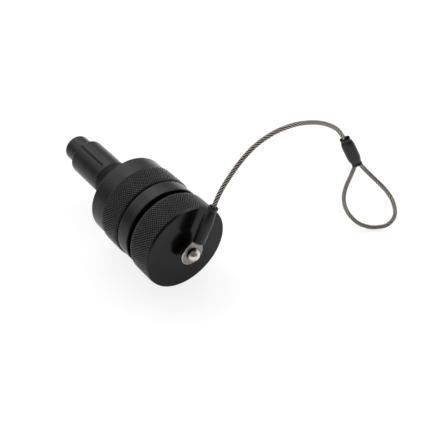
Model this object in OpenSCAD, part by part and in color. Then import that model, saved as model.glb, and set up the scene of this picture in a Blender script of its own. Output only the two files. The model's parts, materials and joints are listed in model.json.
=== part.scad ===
// Sealed round cable connector for a video lead, with a knurled coupling ring
// and a screw cap on a wire-rope lanyard. It lies on its side: the axis runs
// along X with the cap towards +X, and the floor is at Z = 0. Millimetres.

/* [Tip] */
// Width of the folded sheet shell of the tip
tip_w = 13.9; // [13.6:0.1:14.3]
// Height of the folded sheet shell of the tip
tip_h = 4.45; // [4.3:0.05:4.8]
// Thickness of the folded sheet
tip_sheet = 0.4; // [0.3:0.05:0.45]
// Straight part of the shell's sides, above the slanted lower corners
tip_side = 2.6; // [2.3:0.1:2.8]
// How far each lower corner of the shell is drawn in
tip_taper = 1.6; // [1.2:0.1:1.8]
// Rounding of the shell's folded corners
tip_round = 0.7; // [0.5:0.05:0.9]
// How far the tip stays behind the mouth of the plug shell
tip_setback = 1; // [0.5:0.1:2]
// Width of the slot for the mating tongue
slot_w = 11.2; // [10.8:0.1:11.4]
// Height of the slot for the mating tongue
slot_h = 1.9; // [1.8:0.05:2]
// Thickness of the wall behind the slot
slot_back = 2; // [1.5:0.1:3]
// Contacts in the upper row
upper_count = 10; // [8:1:10]
// Contacts in the lower row
lower_count = 9; // [7:1:9]
// Distance between the contacts of a row
contact_pitch = 1; // [0.9:0.05:1.1]
// Width of a contact
contact_w = 0.45; // [0.35:0.05:0.5]
// Thickness of a contact
contact_t = 0.2; // [0.15:0.05:0.25]
// Length of the solder tails behind the insert
tail_len = 3; // [2:0.1:3.4]
// Width of the solder board
board_w = 12; // [11:0.5:13]

/* [Insert] */
// Diameter of the round insert that carries the tip
insert_d = 21.4; // [20.8:0.1:22.4]
// Length of the insert
insert_len = 6; // [5:0.5:7]
// Length of the ring that locks the insert
retainer_len = 2.5; // [2:0.1:3]
// Wall of the ring that locks the insert
retainer_wall = 2.2; // [1.8:0.1:2.5]
// Thickness of the insert's sealing ring
insert_seal = 1.2; // [1:0.1:1.5]

/* [Plug shell] */
// Wall of the shell round the insert
shell_wall = 2.25; // [2.1:0.05:2.6]
// How much smaller in radius the shell is behind its flange
barrel_step = 1; // [0.6:0.1:1.2]
// Thickness of the flange that the ring pulls on
flange_t = 2; // [1.5:0.1:2.5]
// Seat of the insert, measured inwards from its rim
seat_rim = 1.2; // [1:0.1:1.6]
// Length of the chamber behind the insert
chamber_len = 4; // [3.8:0.1:5]
// Thickness of the shell's back wall
back_wall = 1.4; // [1.2:0.1:2]
// How far the shell's back wall stays inside the ring's rear end
back_setback = 0.6; // [0.3:0.1:1]
// How far the shell's mouth stays behind the ring's front end
nose_setback = 2; // [1:0.1:3]
// Thickness of the sealing ring on the nose
nose_seal = 1.5; // [1.3:0.1:1.6]
// Depth of the keyways on the nose
keyway_depth = 0.8; // [0.5:0.1:1]
// Width of the main keyway
keyway_w = 3; // [2:0.1:4]
// Diameter of the rear neck
neck_d = 16.4; // [16:0.1:18]
// Length of the rear neck behind the ring
neck_len = 12.5; // [11.5:0.5:16]

/* [Coupling ring] */
// Wall of the ring at its smooth bands
ring_wall = 1.9; // [1.7:0.1:2.5]
// How far the knurled band stands above the smooth bands
knurl_rise = 0.6; // [0.3:0.1:1]
// Length of the smooth rear band
rear_band = 7.9; // [7:0.1:10]
// Length of the knurled band
knurl_band = 10.4; // [8:0.1:14]
// Length of the smooth front band with the thin groove
front_band = 6.8; // [5:0.1:9]
// Width of the thin groove in front of the knurl
groove_w = 0.6; // [0.4:0.1:1]
// Depth of the thin groove below the smooth band
groove_depth = 0.5; // [0.3:0.1:0.7]
// Depth of the recess for the spring clip
clip_recess = 3; // [2.5:0.1:4]
// Length of the ring's running bore
ring_bearing = 4; // [3:0.1:5]
// Thickness of the spring clip
clip_t = 1.2; // [1:0.1:1.4]
// Width of the spring clip beyond its groove
clip_w = 1.8; // [1.4:0.1:2]
// Depth of the spring clip's groove
clip_groove = 0.6; // [0.4:0.1:0.8]
// Thickness of the thrust washer
thrust_t = 0.6; // [0.4:0.1:0.8]

/* [Cable gland] */
// Diameter of the gland's barrel
gland_d = 15.8; // [15:0.1:17]
// Length of the gland's barrel
gland_len = 19.5; // [15:0.1:24]
// Width of the pair of grooves along the gland's barrel
slit_w = 1.5; // [1:0.1:2]
// How far that pair of grooves leans from upright
slit_angle = 20; // [0:1:45]
// Length of the plain collar in front of those grooves
collar_len = 2; // [1.5:0.1:4]
// Diameter of the cable outlet
outlet_d = 11.5; // [10.8:0.1:12.4]
// Length of the cable outlet
outlet_len = 9.3; // [7:0.1:12]
// Rounding of the cable outlet's end
outlet_round = 1.2; // [0.6:0.1:1.3]
// Bore for the cable
cable_bore = 7.5; // [6.5:0.1:7.8]
// Diameter of the gland's threaded spigot
spigot_d = 12.3; // [11.6:0.1:12.6]
// Length of the gland's threaded spigot
spigot_len = 6.5; // [5:0.1:7]
// Thickness of the washer that presses the cable seal
washer_t = 0.8; // [0.6:0.1:1]
// Thickness of the sealing ring under the gland
gland_seal = 1; // [0.8:0.1:1.1]
// Passage from the neck to the chamber
passage_d = 9.4; // [8.6:0.1:10]
// Length of the passage inside the neck
passage_len = 1.5; // [1:0.1:2]

/* [Cap] */
// Length of the cap's knurled rim
cap_len = 11.2; // [9:0.1:16]
// Thickness of the cap's front wall
cap_wall = 3; // [2.5:0.1:4]
// Bevel round the cap's face, along the axis
cap_bevel_len = 1.2; // [0.5:0.1:2]
// Bevel round the cap's face, inwards
cap_bevel = 0.3; // [0.2:0.1:1]
// Gap between the ring and the cap's rim
cap_gap = 2.9; // [2.5:0.1:4]
// Wall of the cap's threaded skirt
skirt_wall = 1.7; // [1.5:0.1:2]
// Length of the cap's thread inside the ring
thread_engage = 8; // [6:0.1:10]
// Thickness of the cap's sealing ring
cap_seal = 1.6; // [1.2:0.1:2]

/* [Rivet and lug] */
// Diameter of the rivet's shank
rivet_d = 3.2; // [2.6:0.1:3.6]
// Diameter of the rivet's domed head
dome_d = 6.4; // [5.6:0.1:7.2]
// Height of the rivet's domed head
dome_h = 3; // [2:0.1:3.2]
// Diameter of the step under the rivet's domed head
step_d = 4.6; // [4:0.1:5]
// Height of the step under the rivet's domed head
step_h = 0.45; // [0.3:0.05:0.6]
// Diameter of the rivet's inner head
tail_d = 5.2; // [4.6:0.1:6]
// Height of the rivet's inner head
tail_h = 1.2; // [0.8:0.1:1.6]
// Diameter of the rivet's inner washer
rivet_washer_d = 8; // [7:0.1:9]
// Thickness of the rivet's inner washer
rivet_washer_t = 0.8; // [0.5:0.1:1]
// Diameter of the bush that holds the lug off the cap
bush_d = 5.4; // [5:0.1:6.5]
// Length of the bush that holds the lug off the cap
bush_len = 2.7; // [2.6:0.1:4]
// Diameter of the lug's ring
lug_d = 9.8; // [9:0.1:10.5]
// Width of the lug where its ring meets the crimp barrel
throat_w = 5.2; // [4:0.1:5.6]
// Thickness of the lug
lug_t = 1.2; // [0.8:0.1:1.4]
// Diameter of the lug's crimp barrel
barrel_d = 3.4; // [3:0.1:3.6]
// Length of the lug's crimp barrel
barrel_len = 8; // [6:0.5:9]
// How far the lanyard leans from upright
lug_angle = 28; // [24:1:32]
// Greatest diameter of the sleeve over the lug
sleeve_d = 4.6; // [4.4:0.1:5]
// Diameter of the sleeve at its rope end
sleeve_mouth_d = 3.6; // [3.4:0.1:4]
// Length of the sleeve over the lug
sleeve_len = 15.3; // [14:0.1:18]

/* [Lanyard] */
// Diameter of the wire rope
rope_d = 1.4; // [1.2:0.1:1.5]
// Wall of the ferrule that closes the loop
ferrule_wall = 0.3; // [0.25:0.05:0.4]
// Length of the ferrule that closes the loop
ferrule_len = 10.5; // [9:0.5:12]
// Wall of the sleeve over the ferrule, at its fullest
loop_sleeve_wall = 0.6; // [0.4:0.05:0.7]

/* [Clearances] */
// Running clearance of a bore on its shaft, in radius
run_clear = 0.05; // [0.03:0.01:0.1]
// Axial play of the coupling ring
play = 0.15; // [0.1:0.05:0.2]
// Clearance of the screw threads, in radius
thread_clear = 0.2; // [0.15:0.05:0.3]
// Clearance between the nose and the cap's skirt, in radius
skirt_clear = 0.6; // [0.5:0.05:0.8]
// Clearance of a fixed piece in its seat
seat_clear = 0.05; // [0.03:0.01:0.08]

/* [Hidden] */
$fn = 96;
fine_fn = 48;

// Small margins: broken edges, lands between grooves, and how far a cut runs past its face
edge = 0.4;
land = 1.2;
groove_room = 0.4;
flange_room = 1;
clip_room = 0.6;
over = 1;

// Radii from the insert outwards
insert_r = insert_d / 2;
insert_bore = insert_r + seat_clear;
nose_r = insert_bore + shell_wall;
shell_barrel_r = nose_r - barrel_step;
chamber_r = insert_r - seat_rim;
skirt_in = nose_r + skirt_clear;
skirt_out = skirt_in + skirt_wall;
ring_bore = skirt_out + thread_clear;
band_r = ring_bore + ring_wall;
knurl_r = band_r + knurl_rise;
flange_r = ring_bore - flange_room;
recess_r = shell_barrel_r + clip_w + clip_room;
axis_z = knurl_r;

// Lug, measured from the rivet's axis
lug_r = lug_d / 2;
throat_reach = 0.6;
throat = lug_r + throat_reach;
barrel_root = 0.5;
barrel_end = throat + barrel_len;
barrel_off = (barrel_d - lug_t) / 2;
sleeve_gap = 0.1;
sleeve_base = throat + sleeve_gap;
sleeve_mouth = sleeve_base + sleeve_len;

// Places along the axis, from the cable outlet to the front of the rivet or the sleeve
ring_len = rear_band + knurl_band + front_band;
dome_stand = bush_len + lug_t + run_clear + step_h + dome_h;
sleeve_stand = bush_len + lug_t / 2 + barrel_off + sleeve_d / 2;
front_stand = max(dome_stand, sleeve_stand);
total_len = outlet_len + gland_len + neck_len + ring_len + cap_gap + cap_len + front_stand;
outlet_x = -total_len / 2;
gland_x = outlet_x + outlet_len;
neck_x = gland_x + gland_len;
ring_x = neck_x + neck_len;
knurl_x = ring_x + rear_band;
groove_x = knurl_x + knurl_band;
ring_front = ring_x + ring_len;
cap_x = ring_front + cap_gap;
face_x = cap_x + cap_len;
cap_inner = face_x - cap_wall;
skirt_x = ring_front - thread_engage;
lug_x = face_x + bush_len + lug_t / 2;

// Places of the shell's steps
bearing_x = ring_x + clip_recess;
bearing_end = bearing_x + ring_bearing;
thrust_x = bearing_end + play / 2;
flange_x = thrust_x + thrust_t + play / 2;
flange_end = flange_x + flange_t;
clip_x = bearing_x - play - clip_t;
back_x = ring_x + back_setback;
chamber_x = back_x + back_wall;
seat_x = chamber_x + chamber_len;
insert_end = seat_x + insert_len;
insert_mid = seat_x + insert_len / 2;
retainer_end = insert_end + retainer_len;
nose_end = ring_front - nose_setback;
nose_groove_w = nose_seal + groove_room;
nose_groove_x = flange_end + land;
nose_groove_r = nose_r + skirt_clear / 2 - nose_seal;
keyway_x = nose_groove_x + nose_groove_w + land;
keyway_angles = [0, 95, 141, 208, 236];
tip_end = nose_end - tip_setback;

// Spring clip's eyes and retainer's driver slot
clip_eye_d = 0.9;
clip_eye_angle = 14;
driver_slot_w = 1.5;
driver_slot_depth = 1;

// Cable gland
neck_r = neck_d / 2;
outlet_r = outlet_d / 2;
gland_bore = spigot_d / 2 + seat_clear;
gland_seal_seat = spigot_d / 2 + gland_seal + seat_clear;
passage_x = ring_x - passage_len;
spigot_end = neck_x + spigot_len;
seal_x = spigot_end + washer_t;
seal_squeeze = 0.45;
washer_room = 0.5;

// Tip and contacts
corner_steps = 5;
contact_z = slot_h / 2 - contact_t;
board_t = 2 * contact_z;
board_end_gap = 0.4;
housing_setback = 0.3;
housing_end = tip_end - housing_setback;
contact_setback = 1;
contact_end = housing_end - contact_setback;
window_len = 3;
window_w = 1.4;
window_gap = 4.6;
window_land = 2;

// Sleeve over the lug's barrel
sleeve_wall = 0.5;
sleeve_taper = 0.2;
sleeve_shoulder = 3;
lip_len = 1;
lip_rise = 0.15;
lip_wall = 0.5;

// Rope, and its route from the sleeve's mouth: the arch, the ferrule and the loop
rope_r = rope_d / 2;
rope_sides = 8;
rope_grip = 5;
rope_start = barrel_end - rope_grip;
rope_room = 0.2;
straight = 3;
lug_dir = [0, sin(lug_angle), cos(lug_angle)];
mouth = [lug_x + barrel_off, 0, axis_z] + sleeve_mouth * lug_dir;
arch_route = [
  [-0.3, 3.3, 5.1], [-0.3, 7.5, 9.9], [-0.1, 12.5, 15.4], [0.3, 18.5, 18.8], [0.9, 25, 21],
  [1.7, 30.8, 21.8], [2.6, 37.3, 21.4], [3.6, 44.7, 19.3], [4.6, 50.6, 16.3], [5.6, 55.7, 12.2]
];
ferrule_top = [6.6, 59.4, 7];
ferrule_foot = [10.35, 64.9, -6.35];
ferrule_side = [0.6, 0.7, 0.4];
loop_route = [
  [9.8, 63.1, -10.3], [9.7, 62.2, -12.9], [9.6, 61.2, -15.7], [9.7, 60.4, -18.5], [10.2, 59.9, -22],
  [11.5, 60.2, -26.1], [13.6, 61.6, -30.1], [16.6, 64.1, -33.6], [19.7, 67.4, -35.5], [22.1, 70.2, -35.5],
  [24.2, 73.3, -34.4], [25.2, 75.6, -31.2], [24.7, 76.2, -27.5], [22.6, 75.2, -22], [19.6, 73, -17.2],
  [15.3, 69.4, -11.8], [13, 67.5, -9]
];

// Ferrule and its sleeve, round both legs of the rope
leg_room = 0.1;
leg = rope_r + leg_room;
leg_entry = 0.3;
leg_spread = 1;
ferrule_hole = 0.12;
ferrule_out = ferrule_hole + ferrule_wall;
sleeve_hole = ferrule_out + seat_clear;
neck_hole = 0.15;
neck_wall = 0.25;
neck_at = 1.2;
lip_w = 0.7;
lip_out = 0.15;
bell = 0.5;
bell_len = 1.3;

function unit(v) = v / norm(v);
function across(v, along) = unit(v - (v * along) * along);
function keyway_width(i) = i == 0 ? keyway_w : keyway_w / 2;

// Arc that rounds the corner b of an outline between its neighbours a and c
function rounded(a, b, c, r) =
  let (
    u = unit(a - b), v = unit(c - b), half = acos(u * v) / 2,
    middle = b + unit(u + v) * r / sin(half),
    first = b + u * r / tan(half) - middle,
    turn = -sign(cross(u, v)) * (180 - 2 * half)
  )
  [for (k = [0:corner_steps])
    let (t = turn * k / corner_steps)
      middle + [first[0] * cos(t) - first[1] * sin(t), first[0] * sin(t) + first[1] * cos(t)]];

ferrule_run = norm(ferrule_foot - ferrule_top);
ferrule_dir = unit(ferrule_foot - ferrule_top);
side_dir = across(ferrule_side, ferrule_dir);
face_dir = cross(ferrule_dir, side_dir);
ferrule_x0 = (ferrule_run - ferrule_len) / 2;

// Point on a leg of the rope: how far down the ferrule, and how far to the side
function on_leg(down, side) = ferrule_top + down * ferrule_dir + side * side_dir;
leg_stops = [ferrule_x0, ferrule_run / 2, ferrule_run - ferrule_x0];
rope_points = concat(
  [for (r = [rope_start - sleeve_mouth, -straight, 0]) r * lug_dir],
  arch_route,
  [on_leg(0, -leg_entry)], [for (d = leg_stops) on_leg(d, -leg)], [on_leg(ferrule_run, -leg_spread)],
  loop_route,
  [on_leg(ferrule_run, leg_spread)], [for (i = [2:-1:0]) on_leg(leg_stops[i], leg)]
);

// Smooth curve through the points, with two rings of the tube on each stretch
function curve(a, b, c, d, t) =
  0.5 * (2 * b + (c - a) * t + (2 * a - 5 * b + 4 * c - d) * t * t + (3 * b - a - 3 * c + d) * t * t * t);
function at(p, i) = p[max(0, min(len(p) - 1, i))];
function smooth(p) = concat(
  [for (i = [0:len(p) - 2], t = [0, 0.5]) curve(at(p, i - 1), p[i], p[i + 1], at(p, i + 2), t)],
  [p[len(p) - 1]]
);
function tangent(p, i) = unit(at(p, i + 1) - at(p, i - 1));

// Turned solid: the outline gives the radius first and then the place along the axis
module turned() {
  translate([0, 0, axis_z]) rotate([0, 90, 0]) rotate_extrude() children();
}

module lathe(points) {
  turned() polygon(points);
}

module band(r_in, r_out, x0, x1) {
  translate([r_in, x0]) square([r_out - r_in, x1 - x0]);
}

module tube(r_in, r_out, x0, x1) {
  turned() band(r_in, r_out, x0, x1);
}

module seal_ring(r_in, thickness, x) {
  turned() translate([r_in + thickness / 2, x]) circle(d = thickness, $fn = fine_fn);
}

// Outline in the Y-Z plane, drawn along X from x0 to x1
module prism(x0, x1) {
  translate([x0, 0, axis_z]) rotate([90, 0, 90]) linear_extrude(x1 - x0) children();
}

module plug_shell() {
  color([0.13, 0.13, 0.14]) difference() {
    lathe([
      [gland_bore, neck_x], [neck_r - edge, neck_x], [neck_r, neck_x + edge], [neck_r, back_x],
      [shell_barrel_r - edge, back_x], [shell_barrel_r, back_x + edge], [shell_barrel_r, flange_x],
      [flange_r, flange_x], [flange_r, flange_end], [nose_r, flange_end],
      [nose_r, nose_end - edge], [nose_r - edge, nose_end], [insert_bore, nose_end],
      [insert_bore, seat_x], [chamber_r, seat_x], [chamber_r, chamber_x],
      [passage_d / 2, chamber_x], [passage_d / 2, passage_x], [gland_bore, passage_x]
    ]);
    tube(0, gland_seal_seat, neck_x - over, neck_x + gland_seal + seat_clear);
    tube(
      shell_barrel_r - clip_groove, shell_barrel_r + over,
      clip_x - seat_clear, clip_x + clip_t + seat_clear
    );
    tube(nose_groove_r, nose_r + over, nose_groove_x, nose_groove_x + nose_groove_w);
    for (i = [0:len(keyway_angles) - 1])
      translate([0, 0, axis_z]) rotate([keyway_angles[i], 0, 0])
        translate([keyway_x, -keyway_width(i) / 2, nose_r - keyway_depth])
          cube([nose_end - keyway_x + over, keyway_width(i), keyway_depth + over]);
  }
}

module coupling_ring() {
  color([0.15, 0.15, 0.16]) lathe([
    [recess_r, ring_x], [band_r - edge, ring_x], [band_r, ring_x + edge],
    [band_r, knurl_x], [knurl_r, knurl_x + knurl_rise],
    [knurl_r, groove_x - knurl_rise / 2], [band_r, groove_x],
    [band_r - groove_depth, groove_x], [band_r - groove_depth, groove_x + groove_w],
    [band_r, groove_x + groove_w], [band_r, ring_front - edge], [band_r - edge, ring_front],
    [ring_bore + edge, ring_front], [ring_bore, ring_front - edge], [ring_bore, bearing_end],
    [shell_barrel_r + run_clear, bearing_end], [shell_barrel_r + run_clear, bearing_x],
    [recess_r, bearing_x]
  ]);
}

// Open spring clip with two eyes beside its gap
module ring_clip() {
  eye_r = shell_barrel_r + (clip_w - clip_groove) / 2;
  color([0.55, 0.56, 0.58]) difference() {
    tube(shell_barrel_r - clip_groove + seat_clear, shell_barrel_r + clip_w, clip_x, clip_x + clip_t);
    translate([clip_x - over, -clip_w, axis_z - 2 * shell_barrel_r])
      cube([clip_t + 2 * over, 2 * clip_w, 2 * shell_barrel_r]);
    for (side = [-1, 1])
      translate([clip_x - over, 0, axis_z]) rotate([180 + side * clip_eye_angle, 0, 0])
        translate([0, 0, eye_r]) rotate([0, 90, 0])
          cylinder(d = clip_eye_d, h = clip_t + 2 * over, $fn = fine_fn);
  }
}

module thrust_washer() {
  color([0.6, 0.6, 0.6]) tube(shell_barrel_r + run_clear, flange_r, thrust_x, thrust_x + thrust_t);
}

module nose_seal_ring() {
  color([0.07, 0.07, 0.07])
    seal_ring(nose_groove_r + seat_clear / 2, nose_seal - seat_clear, nose_groove_x + nose_groove_w / 2);
}

// Section of the tip: straight upper sides, lower corners drawn in, every corner rounded
module tip_outline(inset) {
  half = tip_w / 2 - inset;
  top = tip_h / 2 - inset;
  side = tip_h / 2 - tip_side;
  foot = half - tip_taper;
  p = [[-half, top], [half, top], [half, side], [foot, -top], [-foot, -top], [-half, side]];
  n = len(p);
  polygon([for (i = [0:n - 1]) each rounded(p[(i + n - 1) % n], p[i], p[(i + 1) % n], tip_round - inset)]);
}

module insert_block() {
  groove_half = (insert_seal + groove_room) / 2;
  color([0.1, 0.1, 0.1]) difference() {
    tube(0, insert_r, seat_x, insert_end);
    prism(seat_x - over, insert_end + over) tip_outline(-seat_clear);
    tube(
      insert_r - insert_seal + seat_clear, insert_r + over,
      insert_mid - groove_half, insert_mid + groove_half
    );
  }
}

module insert_seal_ring() {
  color([0.25, 0.1, 0.08])
    seal_ring(insert_r - insert_seal + 1.5 * seat_clear, insert_seal - seat_clear, insert_mid);
}

module insert_retainer() {
  color([0.7, 0.7, 0.68]) difference() {
    tube(insert_r - retainer_wall, insert_r, insert_end, retainer_end);
    translate([retainer_end - driver_slot_depth, -insert_d, axis_z - driver_slot_w / 2])
      cube([driver_slot_depth + over, 2 * insert_d, driver_slot_w]);
  }
}

// Folded sheet round the housing, with two spring windows above and below
module tip_shell() {
  color([0.78, 0.77, 0.74]) difference() {
    prism(seat_x, tip_end) difference() {
      tip_outline(0);
      tip_outline(tip_sheet);
    }
    for (side = [-1, 1])
      translate([tip_end - window_land - window_len, (side * window_gap - window_w) / 2, axis_z - tip_h])
        cube([window_len, window_w, 2 * tip_h]);
  }
}

module tip_housing() {
  color([0.08, 0.08, 0.09]) difference() {
    prism(seat_x, housing_end) tip_outline(tip_sheet + seat_clear);
    translate([seat_x + slot_back, -slot_w / 2, axis_z - slot_h / 2])
      cube([housing_end - seat_x, slot_w, slot_h]);
    contact_row(upper_count, contact_z, seat_clear);
    contact_row(lower_count, -contact_z - contact_t, seat_clear);
  }
}

// One row of flat contacts with their solder tails; grow widens them for their channels
module contact_row(count, z, grow) {
  for (i = [0:count - 1]) {
    y = (i - (count - 1) / 2) * contact_pitch - contact_w / 2;
    translate([seat_x - tail_len, y - grow, axis_z + z - grow])
      cube([contact_end - seat_x + tail_len, contact_w + 2 * grow, contact_t + 2 * grow]);
  }
}

module upper_contacts() {
  color([0.85, 0.68, 0.3]) contact_row(upper_count, contact_z, 0);
}

module lower_contacts() {
  color([0.85, 0.68, 0.3]) contact_row(lower_count, -contact_z - contact_t, 0);
}

module solder_board() {
  color([0.1, 0.3, 0.18]) translate([seat_x - tail_len, -board_w / 2, axis_z - board_t / 2])
    cube([tail_len - board_end_gap, board_w, board_t]);
}

// Round barrel with a pair of V-shaped grooves along it, a round cable outlet and a threaded spigot
module cable_gland() {
  barrel_r = gland_d / 2;
  slit_side = slit_w / sqrt(2);
  color([0.14, 0.14, 0.15]) difference() {
    turned() {
      band(0, outlet_r - outlet_round, outlet_x, gland_x);
      band(0, outlet_r, outlet_x + outlet_round, gland_x + edge);
      translate([outlet_r - outlet_round, outlet_x + outlet_round]) circle(r = outlet_round, $fn = fine_fn);
      polygon([
        [0, gland_x], [barrel_r - 2 * edge, gland_x], [barrel_r, gland_x + edge], [barrel_r, neck_x],
        [spigot_d / 2, neck_x], [spigot_d / 2, spigot_end], [0, spigot_end]
      ]);
    }
    tube(0, cable_bore / 2, outlet_x - over, spigot_end + over);
    for (turn = [0, 180])
      translate([gland_x - over, 0, axis_z]) rotate([slit_angle + turn, 0, 0])
        translate([0, 0, barrel_r]) rotate([45, 0, 0]) translate([0, -slit_side / 2, -slit_side / 2])
          cube([gland_len - collar_len + over, slit_side, slit_side]);
  }
}

module gland_seal_ring() {
  color([0.07, 0.07, 0.07])
    seal_ring(spigot_d / 2 + seat_clear / 2, gland_seal - seat_clear / 2, neck_x + gland_seal / 2);
}

module cable_seal() {
  color([0.2, 0.2, 0.2])
    tube(cable_bore / 2 - seal_squeeze, gland_bore - seat_clear, seal_x, passage_x);
}

module seal_washer() {
  color([0.75, 0.72, 0.6])
    tube(cable_bore / 2 + washer_room, gland_bore - seat_clear, spigot_end, seal_x);
}

module cap() {
  color([0.14, 0.14, 0.15]) lathe([
    [rivet_d / 2 + seat_clear, face_x], [rivet_d / 2 + seat_clear, cap_inner],
    [skirt_in, cap_inner], [skirt_in, skirt_x],
    [skirt_out - edge, skirt_x], [skirt_out, skirt_x + edge], [skirt_out, cap_x],
    [knurl_r - edge, cap_x], [knurl_r, cap_x + edge], [knurl_r, face_x - cap_bevel_len],
    [knurl_r - cap_bevel, face_x]
  ]);
}

module cap_seal_ring() {
  color([0.06, 0.06, 0.06]) seal_ring(skirt_out + seat_clear, cap_seal, cap_x - cap_seal / 2);
}

// Domed rivet with a step under its head, through the cap, the bush and the lug, closed over a washer inside
module cap_rivet() {
  step_x = face_x + bush_len + lug_t + run_clear;
  dome_x = step_x + step_h;
  tail_x = cap_inner - rivet_washer_t - tail_h;
  dome_r = dome_d / 2;
  sphere_r = (dome_r * dome_r + dome_h * dome_h) / (2 * dome_h);
  color([0.75, 0.74, 0.72]) turned() {
    band(0, tail_d / 2, tail_x, tail_x + tail_h);
    band(0, rivet_d / 2, tail_x, dome_x + dome_h / 2);
    band(0, step_d / 2, step_x, dome_x + step_h);
    intersection() {
      translate([0, dome_x + dome_h - sphere_r]) circle(r = sphere_r);
      band(0, dome_d, dome_x, dome_x + dome_d);
    }
  }
}

module rivet_washer() {
  color([0.7, 0.7, 0.7])
    tube(rivet_d / 2 + seat_clear, rivet_washer_d / 2, cap_inner - rivet_washer_t, cap_inner);
}

module lug_bush() {
  color([0.12, 0.12, 0.12]) tube(rivet_d / 2 + run_clear, bush_d / 2, face_x, face_x + bush_len);
}

// Frame of the lug: Z runs out along the lanyard, X along the rivet
module on_lug() {
  translate([lug_x, 0, axis_z]) rotate([-lug_angle, 0, 0]) children();
}

// Flat ring drawn in by two tangents to a crimp barrel that is flush with its back
module lug() {
  neck_half = throat_w / 2;
  reach = norm([neck_half, throat]);
  tangent_angle = atan2(neck_half, throat) + acos(lug_r / reach);
  shoulder = lug_r * [sin(tangent_angle), cos(tangent_angle)];
  color([0.72, 0.7, 0.66]) on_lug() difference() {
    union() {
      translate([-lug_t / 2, 0, 0]) rotate([90, 0, 90]) linear_extrude(lug_t) {
        circle(r = lug_r);
        polygon([[-shoulder[0], shoulder[1]], shoulder, [neck_half, throat], [-neck_half, throat]]);
      }
      translate([barrel_off, 0, throat - barrel_root]) cylinder(d = barrel_d, h = barrel_len + barrel_root);
    }
    translate([-lug_t, 0, 0]) rotate([0, 90, 0]) cylinder(r = rivet_d / 2 + run_clear, h = 2 * lug_t);
    translate([barrel_off, 0, rope_start]) cylinder(r = rope_r + seat_clear, h = barrel_len);
  }
}

// Shrunk sleeve over the crimp, fullest at the barrel's end, with a rolled lip at the rope
module lug_sleeve() {
  base_r = barrel_d / 2 + seat_clear;
  mouth_r = sleeve_mouth_d / 2;
  hollow = rope_r + rope_room;
  inner_end = barrel_end + edge;
  color([0.1, 0.1, 0.1]) on_lug() translate([barrel_off, 0, 0]) rotate_extrude() polygon([
    [base_r, sleeve_base], [base_r + sleeve_wall, sleeve_base], [sleeve_d / 2, barrel_end - sleeve_shoulder],
    [sleeve_d / 2, barrel_end], [sleeve_d / 2 - sleeve_taper, barrel_end + sleeve_shoulder],
    [mouth_r - lip_rise, sleeve_mouth - lip_len], [mouth_r, sleeve_mouth - lip_len / 2],
    [mouth_r - lip_rise, sleeve_mouth], [mouth_r - lip_wall, sleeve_mouth],
    [mouth_r - lip_wall, sleeve_mouth - lip_len], [hollow, sleeve_mouth - 2 * lip_len],
    [hollow, inner_end + lip_len], [base_r, inner_end]
  ]);
}

// Eight-sided tube along the rope's route
module lanyard_rope() {
  path = smooth(rope_points);
  loop_normal = [0.76, -0.62, 0.2];
  rings = [
    for (i = [0:len(path) - 1])
      let (dir = tangent(path, i), u = unit(cross(dir, loop_normal)), v = cross(dir, u))
        [for (k = [0:rope_sides - 1])
          mouth + path[i] + rope_r * (cos(k * 360 / rope_sides) * u + sin(k * 360 / rope_sides) * v)]
  ];
  points = [for (ring = rings, p = ring) p];
  last = (len(path) - 1) * rope_sides;
  sides = [
    for (i = [0:len(path) - 2], k = [0:rope_sides - 1])
      let (a = i * rope_sides + k, b = i * rope_sides + (k + 1) % rope_sides)
        [a, a + rope_sides, b + rope_sides, b]
  ];
  start_cap = [for (k = [0:rope_sides - 1]) k];
  end_cap = [for (k = [rope_sides - 1:-1:0]) last + k];
  color([0.62, 0.6, 0.55]) polyhedron(points, concat([start_cap], sides, [end_cap]));
}

// Frame of the ferrule: Z runs down its length, X across its two legs of rope
module on_ferrule() {
  p = mouth + ferrule_top;
  multmatrix([
    [side_dir[0], face_dir[0], ferrule_dir[0], p[0]],
    [side_dir[1], face_dir[1], ferrule_dir[1], p[1]],
    [side_dir[2], face_dir[2], ferrule_dir[2], p[2]],
    [0, 0, 0, 1]
  ]) children();
}

// Oval round both legs of the rope, grown by a margin, from z0 to z1
module oval(margin, z0, z1) {
  r = rope_r + margin;
  translate([0, 0, z0]) linear_extrude(z1 - z0) {
    for (s = [-1, 1]) translate([s * leg, 0]) circle(r = r);
    square([2 * leg, 2 * r], center = true);
  }
}

module loop_ferrule() {
  color([0.66, 0.66, 0.66]) on_ferrule() difference() {
    oval(ferrule_out, ferrule_x0, ferrule_run - ferrule_x0);
    oval(ferrule_hole, ferrule_x0 - over, ferrule_run - ferrule_x0 + over);
  }
}

// Body round both legs of the rope: the points give its margin and its place down the ferrule
module swept_oval(points) {
  first = points[0][1];
  last = points[len(points) - 1][1];
  outline = [for (p = points) [rope_r + p[0], p[1]]];
  for (turn = [0, 180])
    rotate([0, 0, turn]) translate([leg, 0, 0]) rotate([0, 0, -90])
      rotate_extrude(angle = 180) polygon(concat([[0, first]], outline, [[0, last]]));
  translate([-leg, 0, 0]) rotate([90, 0, 90]) linear_extrude(2 * leg)
    polygon(concat(outline, [for (i = [len(outline) - 1:-1:0]) [-outline[i][0], outline[i][1]]]));
}

// Barrel-shaped sleeve with a neck and a lip at each end, and a bell where the loop leaves
module loop_sleeve() {
  full = sleeve_hole + loop_sleeve_wall;
  thin = sleeve_hole + neck_wall;
  neck = neck_hole + neck_wall;
  lip = bell + lip_out;
  foot = ferrule_run;
  run_in = ferrule_x0 - seat_clear;
  color([0.1, 0.1, 0.1]) on_ferrule() difference() {
    swept_oval([
      [neck, 0], [neck + lip_out, lip_w / 2], [neck, neck_at], [thin, run_in], [full, 2 * run_in],
      [full, foot - 2 * run_in], [thin, foot - run_in], [neck, foot - neck_at],
      [lip, foot - lip_w], [lip, foot]
    ]);
    swept_oval([[neck_hole, -over], [neck_hole, foot - bell_len], [bell, foot], [bell, foot + over]]);
    oval(sleeve_hole, run_in, foot - run_in);
  }
}

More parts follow.
